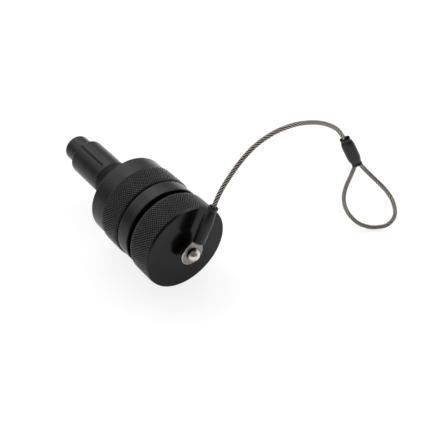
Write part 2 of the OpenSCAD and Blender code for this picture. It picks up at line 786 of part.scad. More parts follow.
plug_shell();
coupling_ring();
ring_clip();
thrust_washer();
nose_seal_ring();
insert_block();
insert_seal_ring();
insert_retainer();
tip_shell();
tip_housing();
upper_contacts();
lower_contacts();
solder_board();
cable_gland();
gland_seal_ring();
cable_seal();
seal_washer();
cap();
cap_seal_ring();
cap_rivet();
rivet_washer();
lug_bush();
lug();
lug_sleeve();
lanyard_rope();
loop_ferrule();
loop_sleeve();
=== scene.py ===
# %% [markdown]
# # A sealed round connector with a screw cap on a wire rope
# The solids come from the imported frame, in metres: the connector lies on the floor at Z = 0 with its axis
# along X and its cap towards +X. This lesson dresses those solids. It turns knurled and threaded rings from
# numpy grids, lays a stranded wire rope along its route and gives every surface a finish. The frame is
# loaded first, because every piece takes its place from it.

# %% Load the frame
import json
import math

import bmesh
import bpy
import numpy as np
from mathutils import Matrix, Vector


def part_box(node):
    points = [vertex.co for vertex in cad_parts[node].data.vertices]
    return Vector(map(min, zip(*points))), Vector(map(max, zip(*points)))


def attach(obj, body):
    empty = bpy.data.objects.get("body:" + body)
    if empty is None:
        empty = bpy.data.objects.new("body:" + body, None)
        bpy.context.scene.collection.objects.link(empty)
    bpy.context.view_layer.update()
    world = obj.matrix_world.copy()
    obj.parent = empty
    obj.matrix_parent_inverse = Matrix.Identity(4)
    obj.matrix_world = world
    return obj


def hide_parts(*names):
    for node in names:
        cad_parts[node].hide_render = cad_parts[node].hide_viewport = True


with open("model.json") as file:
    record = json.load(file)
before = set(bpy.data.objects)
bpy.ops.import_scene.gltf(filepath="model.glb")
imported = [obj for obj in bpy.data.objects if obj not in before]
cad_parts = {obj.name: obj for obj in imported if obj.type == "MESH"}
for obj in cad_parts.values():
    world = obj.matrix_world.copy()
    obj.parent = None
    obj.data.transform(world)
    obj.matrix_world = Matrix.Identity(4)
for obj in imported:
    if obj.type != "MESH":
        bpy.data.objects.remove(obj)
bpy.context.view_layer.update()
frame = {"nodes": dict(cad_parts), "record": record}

MM = 0.001
ring_lo, ring_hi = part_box("coupling_ring")
cap_lo, cap_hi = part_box("cap")
axis_z = (ring_lo.z + ring_hi.z) / 2
rim_r = (ring_hi.z - ring_lo.z) / 2
face_x = cap_hi.x

# %% [markdown]
# ## Camera
# The connector is seen from above, from the side of its cap. A camera could be aimed by eye, but here its
# place is given from the middle of the cap's face, where a fit of the connector's round edges puts it.

# %% Camera
LENS_MM = 60.0
SENSOR_MM = 36.0
NEAREST_SEEN = 10 * MM
CAMERA_FROM_FACE = Vector((161.995, -112.74, 197.415)) * MM
TARGET_FROM_FACE = Vector((3.135, 14.68, 7.21)) * MM
face_centre = Vector((face_x, 0, axis_z))
camera_place = face_centre + CAMERA_FROM_FACE
camera_target = face_centre + TARGET_FROM_FACE
camera_data = bpy.data.cameras.new("camera")
camera_data.lens = LENS_MM
camera_data.sensor_width = SENSOR_MM
camera_data.clip_start = NEAREST_SEEN
camera = bpy.data.objects.new("camera", camera_data)
camera.location = camera_place
camera.rotation_euler = (camera_target - camera_place).to_track_quat("-Z", "Y").to_euler()
bpy.context.scene.collection.objects.link(camera)
bpy.context.scene.camera = camera
bpy.context.scene.view_settings.view_transform = "Standard"
print("camera distance in mm:", round((camera_target - camera_place).length / MM, 1))

# %% [markdown]
# ## From a grid of points to a mesh
# Nearly every piece here is turned, swept or wound, so its surface is a function of two numbers. numpy
# works out the whole grid of points at once and the mesh takes it with foreach_set, which is much faster
# than adding vertices one by one. Where a ring of the grid shrinks to a point, merging closes the pole.

# %% Mesh helpers
MERGE = 1e-7
SHARP_ANGLE = math.radians(32)


def cells(rows, columns, close_rows=False):
    """Corner numbers of every cell of a grid whose columns close: here, next row, both next, next column."""
    i = np.arange(rows if close_rows else rows - 1)[:, None]
    j = np.arange(columns)[None, :]
    below = (i + 1) % rows
    beside = (j + 1) % columns
    corners = (i * columns + j, below * columns + j, below * columns + beside, i * columns + beside)
    return np.stack(corners, axis=-1)


def split(quads, rising):
    """Two triangles for each cell, cut along the first diagonal where rising is true, else the second."""
    a, b, c, d = np.moveaxis(quads, -1, 0)
    first = np.stack([a, b, np.where(rising, c, d)], axis=-1)
    second = np.stack([np.where(rising, a, b), c, d], axis=-1)
    return np.concatenate([first.reshape(-1, 3), second.reshape(-1, 3)])


def make_mesh(name, points, face_sets, crest=None, uv=None):
    """Mesh of points and arrays of faces, with poles merged, faces turned outwards and smooth shading."""
    mesh = bpy.data.meshes.new(name)
    vertices = points.reshape(-1, 3)
    corners = np.concatenate([faces.ravel() for faces in face_sets])
    sizes = np.concatenate([np.full(len(faces), faces.shape[1]) for faces in face_sets])
    mesh.vertices.add(len(vertices))
    mesh.vertices.foreach_set("co", vertices.ravel())
    mesh.loops.add(len(corners))
    mesh.loops.foreach_set("vertex_index", corners)
    mesh.polygons.add(len(sizes))
    mesh.polygons.foreach_set("loop_start", np.cumsum(sizes) - sizes)
    mesh.update(calc_edges=True)
    if crest is not None:
        mesh.attributes.new("crest", "FLOAT", "POINT").data.foreach_set("value", crest.ravel())
    if uv is not None:
        mesh.uv_layers.new(name="UVMap").data.foreach_set("uv", uv.ravel())
    work = bmesh.new()
    work.from_mesh(mesh)
    bmesh.ops.remove_doubles(work, verts=work.verts, dist=MERGE)
    bmesh.ops.recalc_face_normals(work, faces=work.faces)
    work.to_mesh(mesh)
    work.free()
    mesh.shade_smooth()
    mesh.set_sharp_from_angle(angle=SHARP_ANGLE)
    return mesh


def tube_mesh(name, grid):
    """Mesh of a grid that closes on itself both ways, as the wall of a tube does."""
    return make_mesh(name, grid, [cells(*grid.shape[:2], close_rows=True).reshape(-1, 4)])


def add_piece(name, mesh, body, slot, *nodes, look=None):
    """Object with the finish of its slot, or a look of its own, that rides on a body and replaces nodes."""
    piece = bpy.data.objects.new(name, mesh)
    bpy.context.scene.collection.objects.link(piece)
    mesh.materials.append(finishes[look or slot])
    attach(piece, body)
    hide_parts(*nodes)
    triangles = sum(len(polygon.vertices) - 2 for polygon in mesh.polygons)
    print(name, "for", ", ".join(nodes), "-", triangles, "triangles")
    return piece


print("points closer than", MERGE / MM, "mm are merged")

# %% [markdown]
# ## Outlines
# A lathe gives a part its outline, and a file breaks its edges. A Bevel modifier could break them
# afterwards; here the arcs are in the outline itself, so the edges catch light where the real ones do. A
# holding point beside each arc keeps the flats flat under smooth shading.

# %% Outline helpers
ARC_STEPS = 4
HOLD = 0.05 * MM


def unit(vectors):
    """Vectors divided by their lengths."""
    return vectors / np.linalg.norm(vectors, axis=-1, keepdims=True)


def rounded_outline(points, radii):
    """Open outline whose inner corners are arcs.

    At a corner with directions u and v to its neighbours and half the angle between them h, the arc starts
    and ends radius / tan(h) from the corner, and its centre lies radius / sin(h) away along u + v.
    """
    points = np.array(points, dtype=float)
    corner = points[1:-1]
    u = unit(points[:-2] - corner)
    v = unit(points[2:] - corner)
    radius = np.broadcast_to(radii, len(corner))[:, None]
    half = np.arccos((u * v).sum(axis=-1, keepdims=True)) / 2
    reach = radius / np.tan(half)
    centre = corner + unit(u + v) * radius / np.sin(half)
    start = corner + u * reach - centre
    way = np.sign(u[:, :1] * v[:, 1:] - u[:, 1:] * v[:, :1])
    turn = -way * (np.pi - 2 * half) * np.linspace(0, 1, ARC_STEPS)
    arc_x = centre[:, :1] + start[:, :1] * np.cos(turn) - start[:, 1:] * np.sin(turn)
    arc_y = centre[:, 1:] + start[:, :1] * np.sin(turn) + start[:, 1:] * np.cos(turn)
    before = (corner + u * (reach + HOLD))[:, None]
    after = (corner + v * (reach + HOLD))[:, None]
    arcs = np.concatenate([before, np.stack([arc_x, arc_y], axis=-1), after], axis=1).reshape(-1, 2)
    return np.concatenate([points[:1], arcs, points[-1:]])


def ring_angles(columns):
    """Equal angles round a ring."""
    return np.arange(columns) * 2 * np.pi / columns


AXIS_ORIGIN = np.array([0.0, 0.0, axis_z])
AXIS_ALONG = np.array([1.0, 0.0, 0.0])
AXIS_ACROSS = np.array([0.0, 0.0, 1.0])


def spin(along_axis, radius, columns, origin=AXIS_ORIGIN, axis=AXIS_ALONG, across=AXIS_ACROSS):
    """Surface of revolution: origin + along * axis + radius * (cos(angle) * across + sin(angle) * side)."""
    angle = ring_angles(columns)
    side = np.cross(axis, across)
    ring = np.cos(angle)[:, None] * across + np.sin(angle)[:, None] * side
    reach = np.broadcast_to(radius, (len(along_axis), columns))
    return origin + along_axis[:, None, None] * axis + reach[..., None] * ring


print("outlines turn about the axis at height", round(axis_z / MM, 2), "mm")

# %% [markdown]
# ## Finishes: shared effects
# Machined metal is never one flat tone: the tool leaves fine lines round the axis, blasting leaves a grain,
# and fingers leave soft patches. Image textures could paint this, but nodes stay sharp at any size. Each
# effect is one node group that every material places with its own values.

# %% Node helpers and groups
MIX_A, MIX_B, MIX_COLOUR = 6, 7, 2
FLOAT = "NodeSocketFloat"
VECTOR = "NodeSocketVector"


def add_node(tree, kind, inputs=None, **settings):
    """New node with its settings; an input is a value, or an output of another node to link."""
    made = tree.nodes.new(kind)
    for key, value in settings.items():
        setattr(made, key, value)
    for key, value in (inputs or {}).items():
        if isinstance(value, bpy.types.NodeSocket):
            tree.links.new(value, made.inputs[key])
        else:
            made.inputs[key].default_value = value
    return made


def new_group(name, inputs, outputs):
    """Empty shader group with named float or vector sockets, and its two end nodes."""
    group = bpy.data.node_groups.new(name, "ShaderNodeTree")
    for socket, kind in inputs.items():
        group.interface.new_socket(name=socket, in_out="INPUT", socket_type=kind)
    for socket in outputs:
        group.interface.new_socket(name=socket, in_out="OUTPUT", socket_type=FLOAT)
    return group, group.nodes.new("NodeGroupInput"), group.nodes.new("NodeGroupOutput")


def grain_group():
    """Fine grain from noise, as blasting or moulding leaves it, and slow patches as handling leaves them."""
    sockets = {"Position": VECTOR, "Grain Scale": FLOAT, "Patch Scale": FLOAT}
    group, start, end = new_group("grain_and_patches", sockets, ["Grain", "Patches"])
    position = start.outputs["Position"]
    fine = {"Vector": position, "Scale": start.outputs["Grain Scale"], "Detail": 3.0, "Roughness": 0.6}
    slow = {"Vector": position, "Scale": start.outputs["Patch Scale"], "Detail": 2.0, "Distortion": 0.4}
    grain = add_node(group, "ShaderNodeTexNoise", fine)
    patches = add_node(group, "ShaderNodeTexNoise", slow)
    group.links.new(grain.outputs["Fac"], end.inputs["Grain"])
    group.links.new(patches.outputs["Fac"], end.inputs["Patches"])
    return group


def lathe_group():
    """Lathe lines: noise of the place along the axis and the distance from it, the same all round."""
    sockets = {"Position": VECTOR, "Lines": FLOAT}
    group, start, end = new_group("lathe_lines", sockets, ["Height"])
    centre = {0: start.outputs["Position"], 1: (0, 0, axis_z)}
    centred = add_node(group, "ShaderNodeVectorMath", centre, operation="SUBTRACT")
    across = {0: centred.outputs[0], 1: (0, 1, 1)}
    flat = add_node(group, "ShaderNodeVectorMath", across, operation="MULTIPLY")
    radius = add_node(group, "ShaderNodeVectorMath", {0: flat.outputs[0]}, operation="LENGTH")
    place = add_node(group, "ShaderNodeSeparateXYZ", {0: centred.outputs[0]})
    pair = add_node(group, "ShaderNodeCombineXYZ", {0: place.outputs["X"], 1: radius.outputs["Value"]})
    lines = {"Vector": pair.outputs[0], "Scale": start.outputs["Lines"], "Detail": 2.0}
    noise = add_node(group, "ShaderNodeTexNoise", lines)
    group.links.new(noise.outputs["Fac"], end.inputs["Height"])
    return group


GRAIN = grain_group()
LATHE = lathe_group()
print("node groups:", GRAIN.name, "and", LATHE.name)

# %% [markdown]
# ## Finishes: one recipe, many materials
# Anodised aluminium, moulded rubber and rolled steel differ in colour, gloss and in how deep their grain
# is, so one recipe with named values makes them all. The colour runs between two tones with the grain, the
# gloss changes with the patches, and a bump node turns grain and lathe lines into a slightly uneven
# surface. Some meshes carry a "crest" attribute that is 1 on the tips of a knurl, the lug's rim and the
# rivet's dome, and 0 elsewhere: there the colour goes over to a third tone. On knurl tips and the lug's rim
# that tone is a painted highlight; on the dome it is the dome's own colour.

# %% Material recipe
PATCH_SCALE = 90.0
COARSE_SHARE = 0.25
BUMP_STRENGTH = 0.5
NOISE_SPREAD = (0.3, 0.7)


def new_material(name, metallic, specular):
    """Material with a Principled shader; returns it with its tree, shader and object coordinates."""
    material = bpy.data.materials.new(name)
    material.use_nodes = True
    tree = material.node_tree
    shader = tree.nodes["Principled BSDF"]
    shader.inputs["Metallic"].default_value = metallic
    shader.inputs["Specular IOR Level"].default_value = specular
    position = add_node(tree, "ShaderNodeTexCoord").outputs["Object"]
    return material, tree, shader, position


def add_group(tree, group, position, **values):
    """One use of a shared effect in a material: its position socket is linked and its values are set."""
    effect = tree.nodes.new("ShaderNodeGroup")
    effect.node_tree = group
    tree.links.new(position, effect.inputs["Position"])
    for socket, value in values.items():
        effect.inputs[socket.replace("_", " ").title()].default_value = value
    return effect


def blend_colours(tree, amount, first, second):
    """Colour between two tones; either tone may be another node's output."""
    inputs = {0: amount, MIX_A: first, MIX_B: second}
    return add_node(tree, "ShaderNodeMix", inputs, data_type="RGBA").outputs[MIX_COLOUR]


def map_range(tree, value, source, target, shape="LINEAR"):
    """Value carried from the range source to the range target and held at both of its ends."""
    inputs = {"Value": value}
    inputs["From Min"], inputs["From Max"] = source
    inputs["To Min"], inputs["To Max"] = target
    return add_node(tree, "ShaderNodeMapRange", inputs, interpolation_type=shape).outputs["Result"]


def stretch(tree, noise, low, high):
    """Noise, most of which lies near its middle, spread to the range from low to high."""
    return map_range(tree, noise, NOISE_SPREAD, (low, high))


def link_bump(tree, shader, height, strength, distance):
    """Bump from a height to the shader's normal."""
    inputs = {"Height": height, "Strength": strength, "Distance": distance}
    bump = add_node(tree, "ShaderNodeBump", inputs)
    tree.links.new(bump.outputs["Normal"], shader.inputs["Normal"])


def crest_mask(tree):
    """The mesh's crest attribute: 1 on crests, 0 elsewhere; it places painted highlights and painted shade.
    """
    return add_node(tree, "ShaderNodeAttribute", attribute_name="crest").outputs["Fac"]


def finish(
    name, dark, light, gloss, metallic=0.0, specular=0.5, grain=6000.0, depth=0.004, lines=0.0, crest_tone_and_highlight=None
):
    """Material from two tones, a range of roughness, and a grain per metre and its depth in mm.

    Lines are lathe lines per metre: fine ones in the bump, coarser ones in the tone. The tone of crests is a
    painted highlight on knurl tips and on the lug's rim, and the own colour of the rivet's dome.
    """
    material, tree, shader, position = new_material(name, metallic, specular)
    effect = add_group(tree, GRAIN, position, grain_scale=grain, patch_scale=PATCH_SCALE)
    height = effect.outputs["Grain"]
    pattern = height
    if lines:
        turned = add_group(tree, LATHE, position, lines=lines)
        pattern = add_group(tree, LATHE, position, lines=lines * COARSE_SHARE).outputs["Height"]
        both = {0: height, 1: turned.outputs["Height"]}
        height = add_node(tree, "ShaderNodeMath", both, operation="ADD").outputs[0]
    tone = blend_colours(tree, stretch(tree, pattern, 0.0, 1.0), (*dark, 1), (*light, 1))
    if crest_tone_and_highlight:
        tone = blend_colours(tree, crest_mask(tree), tone, (*crest_tone_and_highlight, 1))
    tree.links.new(tone, shader.inputs["Base Color"])
    tree.links.new(stretch(tree, effect.outputs["Patches"], *gloss), shader.inputs["Roughness"])
    link_bump(tree, shader, height, BUMP_STRENGTH, depth * MM)
    return material


print("patches on every finish:", PATCH_SCALE, "per metre")

# %% [markdown]
# ## Finishes of the solid pieces
# Black anodising is nearly pure black: what is seen on it is its gloss. The plug's own shell is duller than
# the pieces that are handled. The lug is greyish steel and the rivet's dome, worn by rubbing, is brighter
# and warmer; the rest of the rivet is nearly black, as painted shade under its head. Seals are dull,
# contacts are gold, and the small board is green laminate.

# %% Materials by slot
recipes = {
    # The crest tone of black anodising is a painted highlight on knurl tips.
    "black_anodised": dict(
        dark=(0.0003, 0.0002, 0.0003), light=(0.0135, 0.0127, 0.0132), gloss=(0.16, 0.24),
        specular=0.185, grain=9000, depth=0.002, lines=5200, crest_tone_and_highlight=(0.2, 0.19, 0.2),
    ),
    "black_matt": dict(
        dark=(0.001, 0.001, 0.0011), light=(0.004, 0.004, 0.0043), gloss=(0.38, 0.5),
        specular=0.1, grain=7000, depth=0.004, lines=4200,
    ),
    "black_rubber": dict(
        dark=(0.018, 0.018, 0.018), light=(0.028, 0.028, 0.028), gloss=(0.6, 0.75), specular=0.3, depth=0.01
    ),
    # The crest tone of bright steel is a painted highlight on the lug's rim.
    "bright_steel": dict(
        dark=(0.203, 0.19, 0.19), light=(0.267, 0.251, 0.252), gloss=(0.2, 0.28),
        metallic=1.0, grain=5000, depth=0.003, crest_tone_and_highlight=(0.66, 0.61, 0.54),
    ),
    # The rivet's two tones are painted shade below its dome; the crest tone is the dome's own colour.
    "rivet_dome_and_painted_shade": dict(
        dark=(0.014, 0.011, 0.008), light=(0.022, 0.018, 0.013), gloss=(0.3, 0.4),
        metallic=1.0, grain=5000, depth=0.003, crest_tone_and_highlight=(0.72, 0.665, 0.585),
    ),
    "spring_steel": dict(
        dark=(0.38, 0.38, 0.39), light=(0.48, 0.48, 0.5), gloss=(0.3, 0.42), metallic=1.0, lines=4000
    ),
    "plated_metal": dict(
        dark=(0.6, 0.59, 0.56), light=(0.68, 0.67, 0.64), gloss=(0.18, 0.3),
        metallic=1.0, grain=4000, depth=0.002,
    ),
    "black_sleeve": dict(
        dark=(0.0125, 0.0125, 0.0142), light=(0.0205, 0.0205, 0.0232), gloss=(0.34, 0.46),
        specular=0.32, grain=2500, depth=0.012,
    ),
    "insert_plastic": dict(
        dark=(0.018, 0.018, 0.02), light=(0.028, 0.028, 0.031), gloss=(0.45, 0.55), grain=5000, depth=0.005
    ),
    "contact_gold": dict(
        dark=(0.78, 0.55, 0.2), light=(0.86, 0.64, 0.28), gloss=(0.2, 0.28),
        metallic=1.0, grain=4000, depth=0.002,
    ),
    "board_green": dict(
        dark=(0.012, 0.09, 0.04), light=(0.02, 0.14, 0.07), gloss=(0.3, 0.4), grain=1800, depth=0.006
    ),
    "ferrule_alloy": dict(
        dark=(0.5, 0.5, 0.5), light=(0.6, 0.6, 0.61), gloss=(0.34, 0.46),
        metallic=1.0, grain=3000, depth=0.006,
    ),
}
finishes = {name: finish(name, **values) for name, values in recipes.items()}
print("finishes:", ", ".join(finishes))

# %% [markdown]
# ## Finish of the wire rope
# A wire rope of this kind has six strands round a core, and each strand is a bundle of wires. The strands
# are in the mesh; the wires are too fine for it, so a bump runs them along the rope's own UV map, whose
# first number goes along the rope and whose second goes round it. The hollows between the strands, where
# "crest" falls to 0, are painted dark: painted shade. It is the last finish, so every solid then gets the
# one of its slot.

# %% Rope material
WIRES_ROUND = 36
WIRE_DEPTH = 0.02 * MM
WIRE_STRENGTH = 0.6
ROPE_GRAIN = 3000.0
ROPE_PATCHES = 400.0
ROPE_GLOSS = (0.32, 0.48)


def rope_finish(name, hollow_shade, wire):
    """Steel with painted shade between the strands, and fine wires as a sine of the place round the rope."""
    material, tree, shader, position = new_material(name, metallic=1.0, specular=0.5)
    tone = blend_colours(tree, crest_mask(tree), (*hollow_shade, 1), (*wire, 1))
    tree.links.new(tone, shader.inputs["Base Color"])
    effect = add_group(tree, GRAIN, position, grain_scale=ROPE_GRAIN, patch_scale=ROPE_PATCHES)
    tree.links.new(stretch(tree, effect.outputs["Patches"], *ROPE_GLOSS), shader.inputs["Roughness"])
    place = add_node(tree, "ShaderNodeUVMap").outputs["UV"]
    around = add_node(tree, "ShaderNodeSeparateXYZ", {0: place}).outputs["Y"]
    angle = add_node(tree, "ShaderNodeMath", {0: around, 1: 2 * math.pi * WIRES_ROUND}, operation="MULTIPLY")
    wires = add_node(tree, "ShaderNodeMath", {0: angle.outputs[0]}, operation="SINE")
    link_bump(tree, shader, wires.outputs[0], WIRE_STRENGTH, WIRE_DEPTH)
    return material


# The first colour is painted shade in the hollows between the strands; the second is the wires' own.
finishes["rope_steel"] = rope_finish("rope_steel", (0.01, 0.008, 0.006), (0.7, 0.645, 0.55))
for part in frame["record"]["subparts"]:
    solid = frame["nodes"][part["node"]]
    solid.data.materials.clear()
    solid.data.materials.append(finishes[part["material_slot"]])

# %% [markdown]
# ## The rope's route
# The rope leaves the black sleeve on the lug, arches over in the air because the wire is stiff, dives into
# a crimped ferrule, makes a loop that lies on the floor, and comes back into the ferrule. Its points are
# given from the sleeve's mouth. A curve object could carry them; a swept mesh is used so that the strands
# are real. The curve through the points is of the same kind as the solid's: a cubic on each stretch, whose
# slope at a point is half the chord of its neighbours.

# %% Rope route
LUG_ANGLE = math.radians(28)
SLEEVE_MOUTH = 20.9 * MM
ROPE_START = -12.4 * MM
STRAIGHT = 3 * MM
LUG_T = 1.2 * MM
BARREL_R = 1.7 * MM
CURVE_STEPS = 40
ROPE_STEP = 0.16 * MM
bush_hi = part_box("lug_bush")[1]
lug_x = bush_hi.x + LUG_T / 2
barrel_x = bush_hi.x + BARREL_R
lug_dir = np.array([0, math.sin(LUG_ANGLE), math.cos(LUG_ANGLE)])
sleeve_foot = np.array([barrel_x, 0, axis_z])
mouth = sleeve_foot + SLEEVE_MOUTH * lug_dir

arch_route = [
    (-0.3, 3.3, 5.1), (-0.3, 7.5, 9.9), (-0.1, 12.9, 15.0), (0.3, 18.5, 18.8), (0.9, 25, 21),
    (1.7, 30.8, 21.8), (2.6, 37.3, 21.4), (3.6, 44.7, 19.3), (4.6, 50.6, 16.3), (5.6, 55.7, 12.2),
]
ferrule_top = np.array([6.6, 59.4, 7]) * MM
ferrule_foot = np.array([10.35, 64.9, -6.35]) * MM
ferrule_side = np.array([0.6, 0.7, 0.4])
loop_route = [
    (9.8, 63.1, -10.3), (9.7, 62.2, -12.9), (9.6, 61.2, -15.7), (9.7, 60.4, -18.5), (10.2, 59.9, -22),
    (11.5, 60.2, -26.1), (13.6, 61.6, -30.1), (16.6, 64.1, -33.6), (19.7, 67.4, -35.28), (22.1, 70.2, -35.28),
    (24.2, 73.3, -34.4), (25.2, 75.6, -31.2), (24.7, 76.2, -27.5), (22.6, 75.2, -22), (19.6, 73, -17.2),
    (15.3, 69.4, -11.8), (13, 67.5, -9),
]
FERRULE_LEN = 10.5 * MM
LEG = 0.8 * MM
LEG_ENTRY = 0.3 * MM
LEG_SPREAD = 1.0 * MM
ferrule_run = np.linalg.norm(ferrule_foot - ferrule_top)
ferrule_dir = unit(ferrule_foot - ferrule_top)
side_dir = unit(ferrule_side - (ferrule_side @ ferrule_dir) * ferrule_dir)
face_dir = np.cross(ferrule_dir, side_dir)
leg_start = (ferrule_run - FERRULE_LEN) / 2
leg_stops = np.array([leg_start, ferrule_run / 2, ferrule_run - leg_start])


def on_leg(down, side):
    """Points beside the ferrule's middle line, some way down it and some way to the side."""
    return ferrule_top + np.outer(down, ferrule_dir) + side * side_dir


def smooth_curve(points, steps):
    """Curve through the points: with neighbours a, b, c, d each stretch from b to c is a cubic in t."""
    padded = np.concatenate([points[:1], points, points[-1:]])
    a, b, c, d = (padded[k:len(points) - 1 + k, None] for k in range(4))
    t = (np.arange(steps) / steps)[None, :, None]
    square = (2 * a - 5 * b + 4 * c - d) * t ** 2
    cube = (3 * b - a - 3 * c + d) * t ** 3
    stretches = (2 * b + (c - a) * t + square + cube) / 2
    return np.concatenate([stretches.reshape(-1, points.shape[1]), points[-1:]])


def even_steps(path, step):
    """The same line, measured along its length and cut into equal steps."""
    run = np.concatenate([[0], np.cumsum(np.linalg.norm(np.diff(path, axis=0), axis=1))])
    places = np.linspace(0, run[-1], int(run[-1] / step) + 1)
    return np.stack([np.interp(places, run, column) for column in path.T], axis=1), places


straight_points = np.outer([ROPE_START, -STRAIGHT, 0], lug_dir)
rope_points = mouth + np.concatenate([
    straight_points, np.array(arch_route) * MM,
    on_leg([0], -LEG_ENTRY), on_leg(leg_stops, -LEG), on_leg([ferrule_run], -LEG_SPREAD),
    np.array(loop_route) * MM, on_leg([ferrule_run], LEG_SPREAD), on_leg(leg_stops[::-1], LEG),
])
rope_path, rope_places = even_steps(smooth_curve(rope_points, CURVE_STEPS), ROPE_STEP)

# %% [markdown]
# ## The rope's strands
# The section of a rope with six strands round a core is six touching circles. Seen from the rope's middle,
# the edge of a circle of radius s at distance c lies at c cos(a) + sqrt(s^2 - c^2 sin(a)^2), where a is the
# angle from that circle's middle. Turning the section as it moves along the path winds the strands, and the
# section shrinks where the rope is crimped.

# %% Stranded rope
ROPE_R = 0.85 * MM
STRANDS = 6
LAY = 8.5 * MM
ROPE_SIDES = 48
STRAND_REACH = 1.07
STRAND_SHADE_POWER = 2.6
CRIMP_RUN = 5 * MM
CRIMP_REACH = 1.3 * MM
CRIMPED = 0.8
LOOP_NORMAL = np.array([0.76, -0.62, 0.2])


def path_frames(path, normal):
    """Two directions across a path at each of its points, the first also square to a fixed normal."""
    along = unit(np.gradient(path, axis=0))
    first = unit(np.cross(along, normal))
    return first, np.cross(along, first)


def strand_radius(angle, twist):
    """Distance from the rope's middle to the nearest strand's edge, and 1 on its crest to 0 beside it, where
    the hollow gets painted shade.
    """
    strand = ROPE_R * STRAND_REACH / 3
    away = (angle - twist) % (2 * np.pi / STRANDS) - np.pi / STRANDS
    middle = 2 * strand
    edge = middle * np.cos(away) + np.sqrt(np.maximum(strand ** 2 - (middle * np.sin(away)) ** 2, 0))
    return edge, ((1 + np.cos(STRANDS * away)) / 2) ** STRAND_SHADE_POWER


def crimp_share(path, places):
    """Share of the rope's radius: less in the lug's barrel, where the rope starts, and in the ferrule."""
    from_middle = path - mouth - (ferrule_top + ferrule_foot) / 2
    down = from_middle @ ferrule_dir
    beside = np.linalg.norm(from_middle - np.outer(down, ferrule_dir), axis=1)
    in_ferrule = (np.abs(down) < FERRULE_LEN / 2) & (beside < CRIMP_REACH)
    return np.where(in_ferrule | (places < CRIMP_RUN), CRIMPED, 1)[:, None]


rope_angle = ring_angles(ROPE_SIDES)
rope_twist = rope_places[:, None] * 2 * np.pi / LAY
rope_edge, rope_strand_shading = strand_radius(rope_angle[None, :], rope_twist)
rope_radius = rope_edge * crimp_share(rope_path, rope_places)
first_across, second_across = path_frames(rope_path, LOOP_NORMAL)
closed_ends = np.pad(rope_radius, ((1, 1), (0, 0)))
end_rows = np.concatenate([[0], np.arange(len(rope_path)), [len(rope_path) - 1]])
rope_first = np.cos(rope_angle)[:, None] * first_across[:, None]
rope_second = np.sin(rope_angle)[:, None] * second_across[:, None]
rope_ring = rope_first + rope_second
rope_grid = rope_path[end_rows][:, None] + closed_ends[..., None] * rope_ring[end_rows]
rope_cells = cells(len(end_rows), ROPE_SIDES)
rope_run = np.arange(len(end_rows))[:, None] + np.array([0, 1, 1, 0])
rope_turn = np.arange(ROPE_SIDES)[:, None] + np.array([0, 0, 1, 1])
rope_uv = np.stack(np.broadcast_arrays(
    rope_run[:-1, None] / len(end_rows), rope_turn[None] / ROPE_SIDES
), axis=-1)
rope_mesh = make_mesh("wire_rope", rope_grid, [rope_cells.reshape(-1, 4)], rope_strand_shading[end_rows], rope_uv)
wire_rope = add_piece("wire_rope", rope_mesh, "lanyard", "rope_steel", "lanyard_rope")

# %% [markdown]
# ## Sleeve over the ferrule
# The ferrule that closes the loop is covered by a piece of shrunk tubing. It stands full over the ferrule
# like a small barrel, draws in past both of its ends and opens again in a thin lip round the rope. Its
# section is an oval, between an ellipse and a rectangle, whose two half widths follow the length; the inner
# wall is the same with less width.

# %% Sleeve over the ferrule
OVAL_POWER = 2.4
OVAL_SIDES = 64
SLEEVE_STEPS = 4
sleeve_outside = np.array([
    (0, 1.94, 1.14), (0.3, 2.06, 1.26), (0.75, 2.0, 1.2), (1.2, 1.9, 1.1), (1.6, 1.98, 1.18),
    (2.2, 2.24, 1.44), (3.1, 2.46, 1.66), (4.3, 2.57, 1.77), (7.5, 2.6, 1.8), (10.6, 2.56, 1.76),
    (11.8, 2.42, 1.62), (12.8, 2.2, 1.4), (13.4, 2.0, 1.2), (13.75, 1.92, 1.12), (14.15, 2.1, 1.3),
    (14.6, 2.16, 1.36), (14.88, 2.12, 1.32),
]) * MM
sleeve_inside = np.array([
    (14.84, 2.0, 1.2), (14.3, 1.92, 1.06), (13.6, 1.8, 0.97), (13.05, 1.8, 0.97), (12.75, 1.98, 1.18),
    (2.17, 1.98, 1.18), (1.87, 1.72, 0.97), (0.4, 1.72, 0.97), (0.04, 1.82, 1.03),
]) * MM


def oval(stations, sides, power):
    """Oval rings at stations of (place, half width, half thickness): |x/w|^p + |y/t|^p = 1 on each ring."""
    angle = ring_angles(sides)
    cos = np.cos(angle)
    sin = np.sin(angle)
    wide = np.sign(cos) * np.abs(cos) ** (2 / power)
    thick = np.sign(sin) * np.abs(sin) ** (2 / power)
    return stations[:, :1], stations[:, 1:2] * wide, stations[:, 2:3] * thick


oval_stations = np.concatenate([smooth_curve(sleeve_outside, SLEEVE_STEPS), sleeve_inside])
down, wide, thick = oval(oval_stations, OVAL_SIDES, OVAL_POWER)
oval_middle = mouth + ferrule_top + down[..., None] * ferrule_dir
loop_sleeve_grid = oval_middle + wide[..., None] * side_dir + thick[..., None] * face_dir
loop_sleeve_mesh = tube_mesh("ferrule_sleeve", loop_sleeve_grid)
ferrule_sleeve = add_piece("ferrule_sleeve", loop_sleeve_mesh, "lanyard", "black_sleeve", "loop_sleeve")

# %% [markdown]
# ## Sleeve on the lug
# A second piece of shrunk tubing covers the lug's crimp barrel. Its foot is pressed wide by the lug's
# shoulders, it slims down to the rope and ends in a rolled lip that stands open round it. It is turned
# about the lug's own direction: the radius grows to the sides near the foot, a slow wave along and round it
# creases the tube, and on one side a soft fold stands out where the tube has more width than the crimp
# below it.

